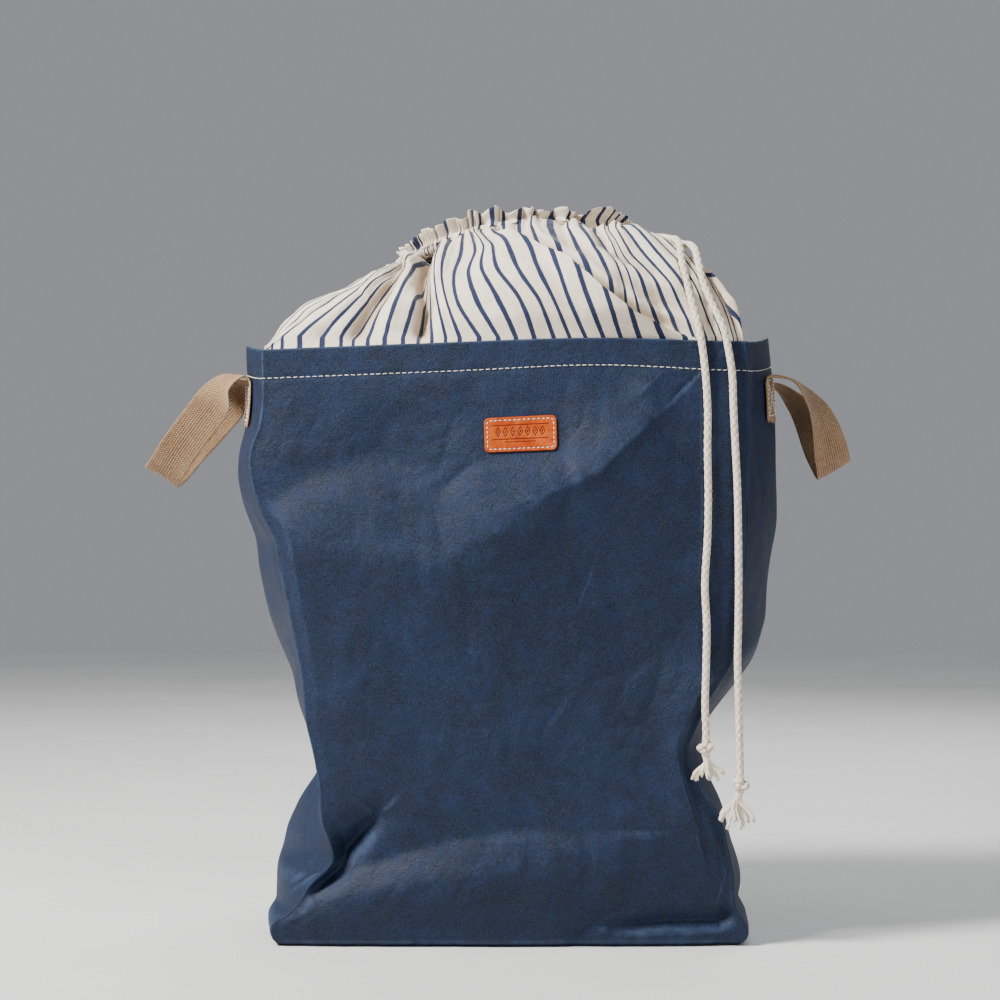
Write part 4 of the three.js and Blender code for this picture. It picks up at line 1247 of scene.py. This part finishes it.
def build_ruffle():
    """The standing ruffle: a doubled edge of cloth thrown into uneven pleats of great depth, with painted
    shade in their valleys.
    """
    rng = np.random.default_rng(404)
    turn = np.linspace(0, 2 * np.pi, 2400, endpoint=False)
    c = mouth_cloth(turn)
    t = pleat_count(c, PLEAT, PLEAT_SEED)
    sizes = 0.45 + 0.55 * rng.random(97)
    size = sizes[np.floor(t).astype(int) % 97]
    side_ways = np.sin(2 * np.pi * t)
    out_ways = np.cos(2 * np.pi * t)
    heights = np.concatenate([np.linspace(0, 0.9, 12), [0.96, 1.0]])
    outer, inner = [], []
    ring = mouth_point(turn)
    tangent = unit(np.roll(ring, -1, axis=0) - np.roll(ring, 1, axis=0))
    out = unit(mouth_point(turn, 10) - mouth_point(turn, -10))
    x = ring[:, 0]
    ahead = np.sin(turn) < 0.15
    top = np.where(ahead, spline(RUFFLE_TOP, x), 10) + 6.5 * (size - 0.75) * np.abs(np.cos(np.pi * t))
    calm = smooth(64, 76, x) * ahead  # the last of the ruffle is one smooth fold that leans out
    wave = size * (1 - 0.85 * calm)
    for u in heights:
        spread = 2.0 + 3.2 * u ** 0.8
        shift = 1.8 * u
        fan = 4.6 - 2.6 * smooth(0, 0.3, u) + 4.5 * smooth(0.3, 1.0, u) + calm * (7 * u ** 1.4 + 1.0)
        base = (ring + out * (fan + spread * wave * out_ways)[:, None]
                + tangent * (shift * wave * side_ways)[:, None])
        base[:, 2] += 1.5 + u * (top + 4)
        thick = 0.75 if u < 0.9 else 0.75 * (1 - ((u - 0.9) / 0.1) ** 2 * 0.75)
        outer.append(base + out * thick)
        inner.append(base - out * thick)
    outer, inner = np.array(outer), np.array(inner)
    uv = np.stack([np.broadcast_to(c, outer.shape[:2]), 230 + heights[:, None] * top[None, :]], axis=-1) * MM
    # painted shade in the valleys of the pleats, fading towards the top of the ruffle and gone where it lies
    # smooth
    valley = np.clip(-out_ways * 0.9 + 0.1, 0, 1) * np.clip(1.1 - heights[:, None] * 0.5, 0, 1) * (1 - calm)
    ruffle = shell("mouth_ruffle", outer, inner, cotton, uv, {"painted_fold_shade": valley * 0.8}, wrap=True)
    dress(ruffle, "striped_cotton", "mouth_frill")


# ---------------------------------------------------------------- handles
def handle_path(side):
    """The webbing's middle line and the direction across it, from one foot's cut end to the other's."""
    sign = -1 if side == "left" else 1
    half = LOOPS[side]
    foot, across = [], []
    for z in (TAB_Z[0] + 1, 508, 518, 528, 537, 542):
        s = 4 - FOOT_SHARE if side == "left" else 1 + FOOT_SHARE
        p = wall(np.array([s]), np.array([float(z)]), -(STRAP_T / 2 + 0.6))[0]
        before = wall(np.array([s - 0.03]), np.array([float(z)]))[0]
        after = wall(np.array([s + 0.03]), np.array([float(z)]))[0]
        direction = unit((after - before) * (-1 if side == "left" else 1))
        foot.append(p)
        across.append(direction * (1, 1, 0))
    turn_x = foot[-1][0] + sign * 1.6
    foot[-1][2] = min(foot[-1][2], 543)
    points = foot + [np.array([turn_x, -TAB_Y, PIVOT_Z + 0.6])]
    directions = across + [np.array([0, 1, 0.0])]
    for p, d in half[1:]:
        points.append(np.array(p, float))
        directions.append(np.array(d, float))
    mirror_p = [p * (1, -1, 1) for p in points[:-1]][::-1]
    mirror_d = [d * (1, -1, 1) for d in directions[:-1]][::-1]
    return np.array(points + mirror_p), np.array(directions + mirror_d)


def build_handle(side):
    """One length of webbing: a foot sewn to the gusset, the loop, and the other foot."""
    middle, across = handle_path(side)
    cell = 2.5
    path = points_along(middle, cell / 4)
    knots, run = lengths_to(middle), lengths_to(path)
    wide = at_lengths(run / run[-1] * knots[-1], knots, across)
    for _ in range(40):
        wide[1:-1] = (wide[:-2] + wide[1:-1] * 2 + wide[2:]) / 4
    ahead = unit(np.gradient(path, axis=0))
    wide = unit(wide - ahead * (wide * ahead).sum(axis=1, keepdims=True))
    face = np.cross(ahead, wide)
    columns = int(STRAP_W / cell) * 4 + 1
    v = np.linspace(-0.5, 0.5, columns)
    a = v[None, :] * STRAP_W / cell
    b = run[:, None] / cell + 0.5 * (np.floor(a) % 2)
    pillow = np.abs(np.sin(np.pi * a) * np.sin(np.pi * b)) ** 0.6
    rng = np.random.default_rng(71 if side == "left" else 73)
    uneven = rng.uniform(0.75, 1.1, (400, 40))[np.floor(b).astype(int) % 400, np.floor(a).astype(int) % 40]
    height = pillow * uneven
    edge = np.clip((0.5 - np.abs(v)) * STRAP_W / 1.3, 0, 1)[None, :]
    half = (STRAP_T / 2 - 0.55) * np.sqrt(1 - (1 - edge) ** 2 * 0.8) + 0.55 * height * mix(0.5, 1, edge)
    cup = 0.9 * (1 - (2 * v[None, :]) ** 2) * np.sin(np.pi * run[:, None] / run[-1]) ** 2
    ripple = STRAP_W * (1 + 0.006 * np.sin(run[:, None] * 1.9) * np.abs(2 * v[None, :]) ** 6)
    centre = path[:, None] + wide[:, None] * (v[None, :] * ripple)[..., None] + face[:, None] * cup[..., None]
    top = centre + face[:, None] * half[..., None]
    under = centre - face[:, None] * half[..., None]
    strap = shell(f"{side}_handle_webbing", under, top, webbing, values={"height": height})
    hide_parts(f"{side}_handle", f"{side}_front_foot", f"{side}_rear_foot")
    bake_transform(strap)
    fringe(side, path, wide, face)
    for place in ("front", "rear"):
        foot_stitches(side, place)


def fringe(side, path, wide, face):
    """Short loose yarns at the webbing's two cut ends."""
    rng = np.random.default_rng(81 if side == "left" else 83)
    grids = []
    for end in (0, -1):
        down = unit(path[end] - path[4 if end == 0 else -5])
        for v in np.linspace(-0.48, 0.48, 30):
            t = np.linspace(0, 1, 5)[:, None]
            start = path[end] + wide[end] * v * STRAP_W + face[end] * rng.uniform(-0.6, 0.6) - down * 1.0
            lean = (down * rng.uniform(1.8, 3.6) + wide[end] * rng.uniform(-0.7, 0.7)
                    + face[end] * rng.uniform(-0.5, 0.5))
            grids.append(tube_grid(start + lean * t, 0.42 * np.array([1, 1, 0.95, 0.8, 0.45]), 6))
    count = sum(g.shape[0] * g.shape[1] + 2 for g in grids)
    ends = many_tubes(f"{side}_handle_fringe", grids, webbing, {"height": np.full(count, 0.8)})
    dress(ends, "tan_webbing")


def foot_stitches(side, place):
    """A boxed cross sewn through a foot."""
    centre = FOOT_SHARE if place == "front" else 1 - FOOT_SHARE
    reach = 14 / SIDE_LENGTH[1]
    low, high = TAB_Z[0] + 6, TAB_Z[1] - 5
    corners = [(centre - reach, low), (centre + reach, low), (centre + reach, high), (centre - reach, high),
               (centre - reach, low), (centre + reach, high), (centre + reach, low), (centre - reach, high)]
    shares, heights = [], []
    for (a, z0), (b, z1) in zip(corners[:-1], corners[1:]):
        t = np.linspace(0, 1, 30)
        shares.append(mix(a, b, t))
        heights.append(mix(z0, z1, t))
    share, z = np.concatenate(shares), np.concatenate(heights)
    s = 4 - share if side == "left" else 1 + share
    line = wall(s, z, -(STRAP_T + 0.75))
    out = unit(line - wall(s, z, 3.0))
    row = stitches(f"{side}_{place}_foot_stitches", line, out, thread, 3.2, 1.1, 0.42)
    dress(row, "cream_thread", f"{side}_{place}_foot_thread")


# ---------------------------------------------------------------- leather patch
def on_front(a, b, out):
    """Points on the front panel at (a, b) from the patch's centre, out from the cloth."""
    tilt = math.radians(LABEL["tilt"])
    x = LABEL["x"] + a * math.cos(tilt) - b * math.sin(tilt)
    z = LABEL["z"] + a * math.sin(tilt) + b * math.cos(tilt)
    left, right = spline(EDGE_X[0], z), spline(EDGE_X[1], z)
    return wall((x - left) / (right - left), z, -out)


def rounded(a, b, half_a, half_b, corner):
    """Moves a rectangle's grid points so that its corners are round."""
    p, q = np.abs(a) - (half_a - corner), np.abs(b) - (half_b - corner)
    inside = (p > 0) & (q > 0)
    scale = np.where(inside, np.maximum(p, q) / np.maximum(np.hypot(p, q), 1e-9), 1)
    a = np.where(inside, np.sign(a) * (half_a - corner + p * scale), a)
    b = np.where(inside, np.sign(b) * (half_b - corner + q * scale), b)
    return a, b


def pressed_pattern(a, b):
    """A plain pressed ornament: two rules and a row of lozenges."""
    line = lambda value, half: smooth(half + 0.25, half - 0.1, np.abs(value))
    within = smooth(27.5, 27.0, np.abs(a))
    cell = np.mod(a + 3.5, 7) - 3.5
    lozenge = np.abs(cell) / 2.3 + np.abs(b - 2.2) / 4.2
    marks = line((lozenge - 1) * 2.6, 0.42) + smooth(0.42, 0.3, lozenge)
    rules = line(b + 4.6, 0.35) + line(b - 8.6, 0.35) + line(b + 7.4, 0.25) * smooth(15, 14.6, np.abs(a))
    return np.clip(np.clip(marks, 0, 1) * smooth(24.6, 24.4, np.abs(a)) + rules * within, 0, 1)


def build_patch():
    half_a, half_b = LABEL["width"] / 2, LABEL["height"] / 2
    a, b = np.meshgrid(np.linspace(-half_a, half_a, 200), np.linspace(-half_b, half_b, 96))
    a, b = rounded(a, b, half_a, half_b, LABEL["corner"])
    inset = np.minimum(half_a - np.abs(a), half_b - np.abs(b))
    p, q = np.abs(a) - (half_a - LABEL["corner"]), np.abs(b) - (half_b - LABEL["corner"])
    inset = np.where((p > 0) & (q > 0), LABEL["corner"] - np.hypot(p, q), inset)
    pressed = pressed_pattern(a, b)
    edge = np.sqrt(np.clip(1 - (1 - np.clip(inset / 1.1, 0, 1)) ** 2, 0, 1))
    groove = np.exp(-(((inset - 3) / 0.9) ** 2))
    top = (0.5 + (LABEL["thick"] - 0.5) * edge - 0.6 * pressed - 0.3 * groove
           + 0.12 * fbm(a / 9, b / 9, 501, 2))
    outer = on_front(a, b, PATCH_GAP + top)
    inner = on_front(a, b, PATCH_GAP + 0 * top)
    dark = np.clip(0.8 * pressed + 0.3 * groove + 0.5 * (1 - smooth(0, 1.2, inset)), 0, 1)
    patch = shell("leather_patch", outer, inner, leather, values={"pressed": dark})
    dress(patch, "tan_leather", "label_patch")
    row_a, row_b, corner = half_a - 3, half_b - 3, 3.0
    arcs = []
    for n, (sa, sb) in enumerate(((1, 1), (-1, 1), (-1, -1), (1, -1))):
        t = np.linspace(0, math.pi / 2, 8) + n * math.pi / 2
        arcs.append(np.stack([sa * (row_a - corner) + corner * np.cos(t),
                              sb * (row_b - corner) + corner * np.sin(t)], 1))
    ring = np.concatenate(arcs + [arcs[0][:1]])
    run = lengths_to(ring)
    ra, rb = at_lengths(np.linspace(0, run[-1], 500), run, ring).T
    line = on_front(ra, rb, PATCH_GAP + LABEL["thick"] - 0.2)
    row = stitches("patch_stitches", line, unit(line - on_front(ra, rb, -3)), thread, 2.9, 1.5, 0.4, 0.08)
    dress(row, "cream_thread", "label_thread")


def place_tail(name, cord, knot, fray, path):
    """Hides the tail parts that the cord stands for, bakes the cord's place into its mesh, and hangs the knot
    and frayed end on the tail's body.
    """
    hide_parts(f"{name}_tail_upper", f"{name}_tail_lower")
    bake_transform(cord)
    dress(knot, "cotton_cord", f"{name}_knot", body=f"{name}_tail")
    dress(fray, "cotton_cord", f"{name}_tassel", body=f"{name}_tail")


for tail_name, parts in tails.items():
    place_tail(tail_name, *parts)
build_studio()
build_walls()
build_base()
build_rim()
build_collar()
build_mouth()
build_ruffle()
build_handle("left")
build_handle("right")
build_patch()
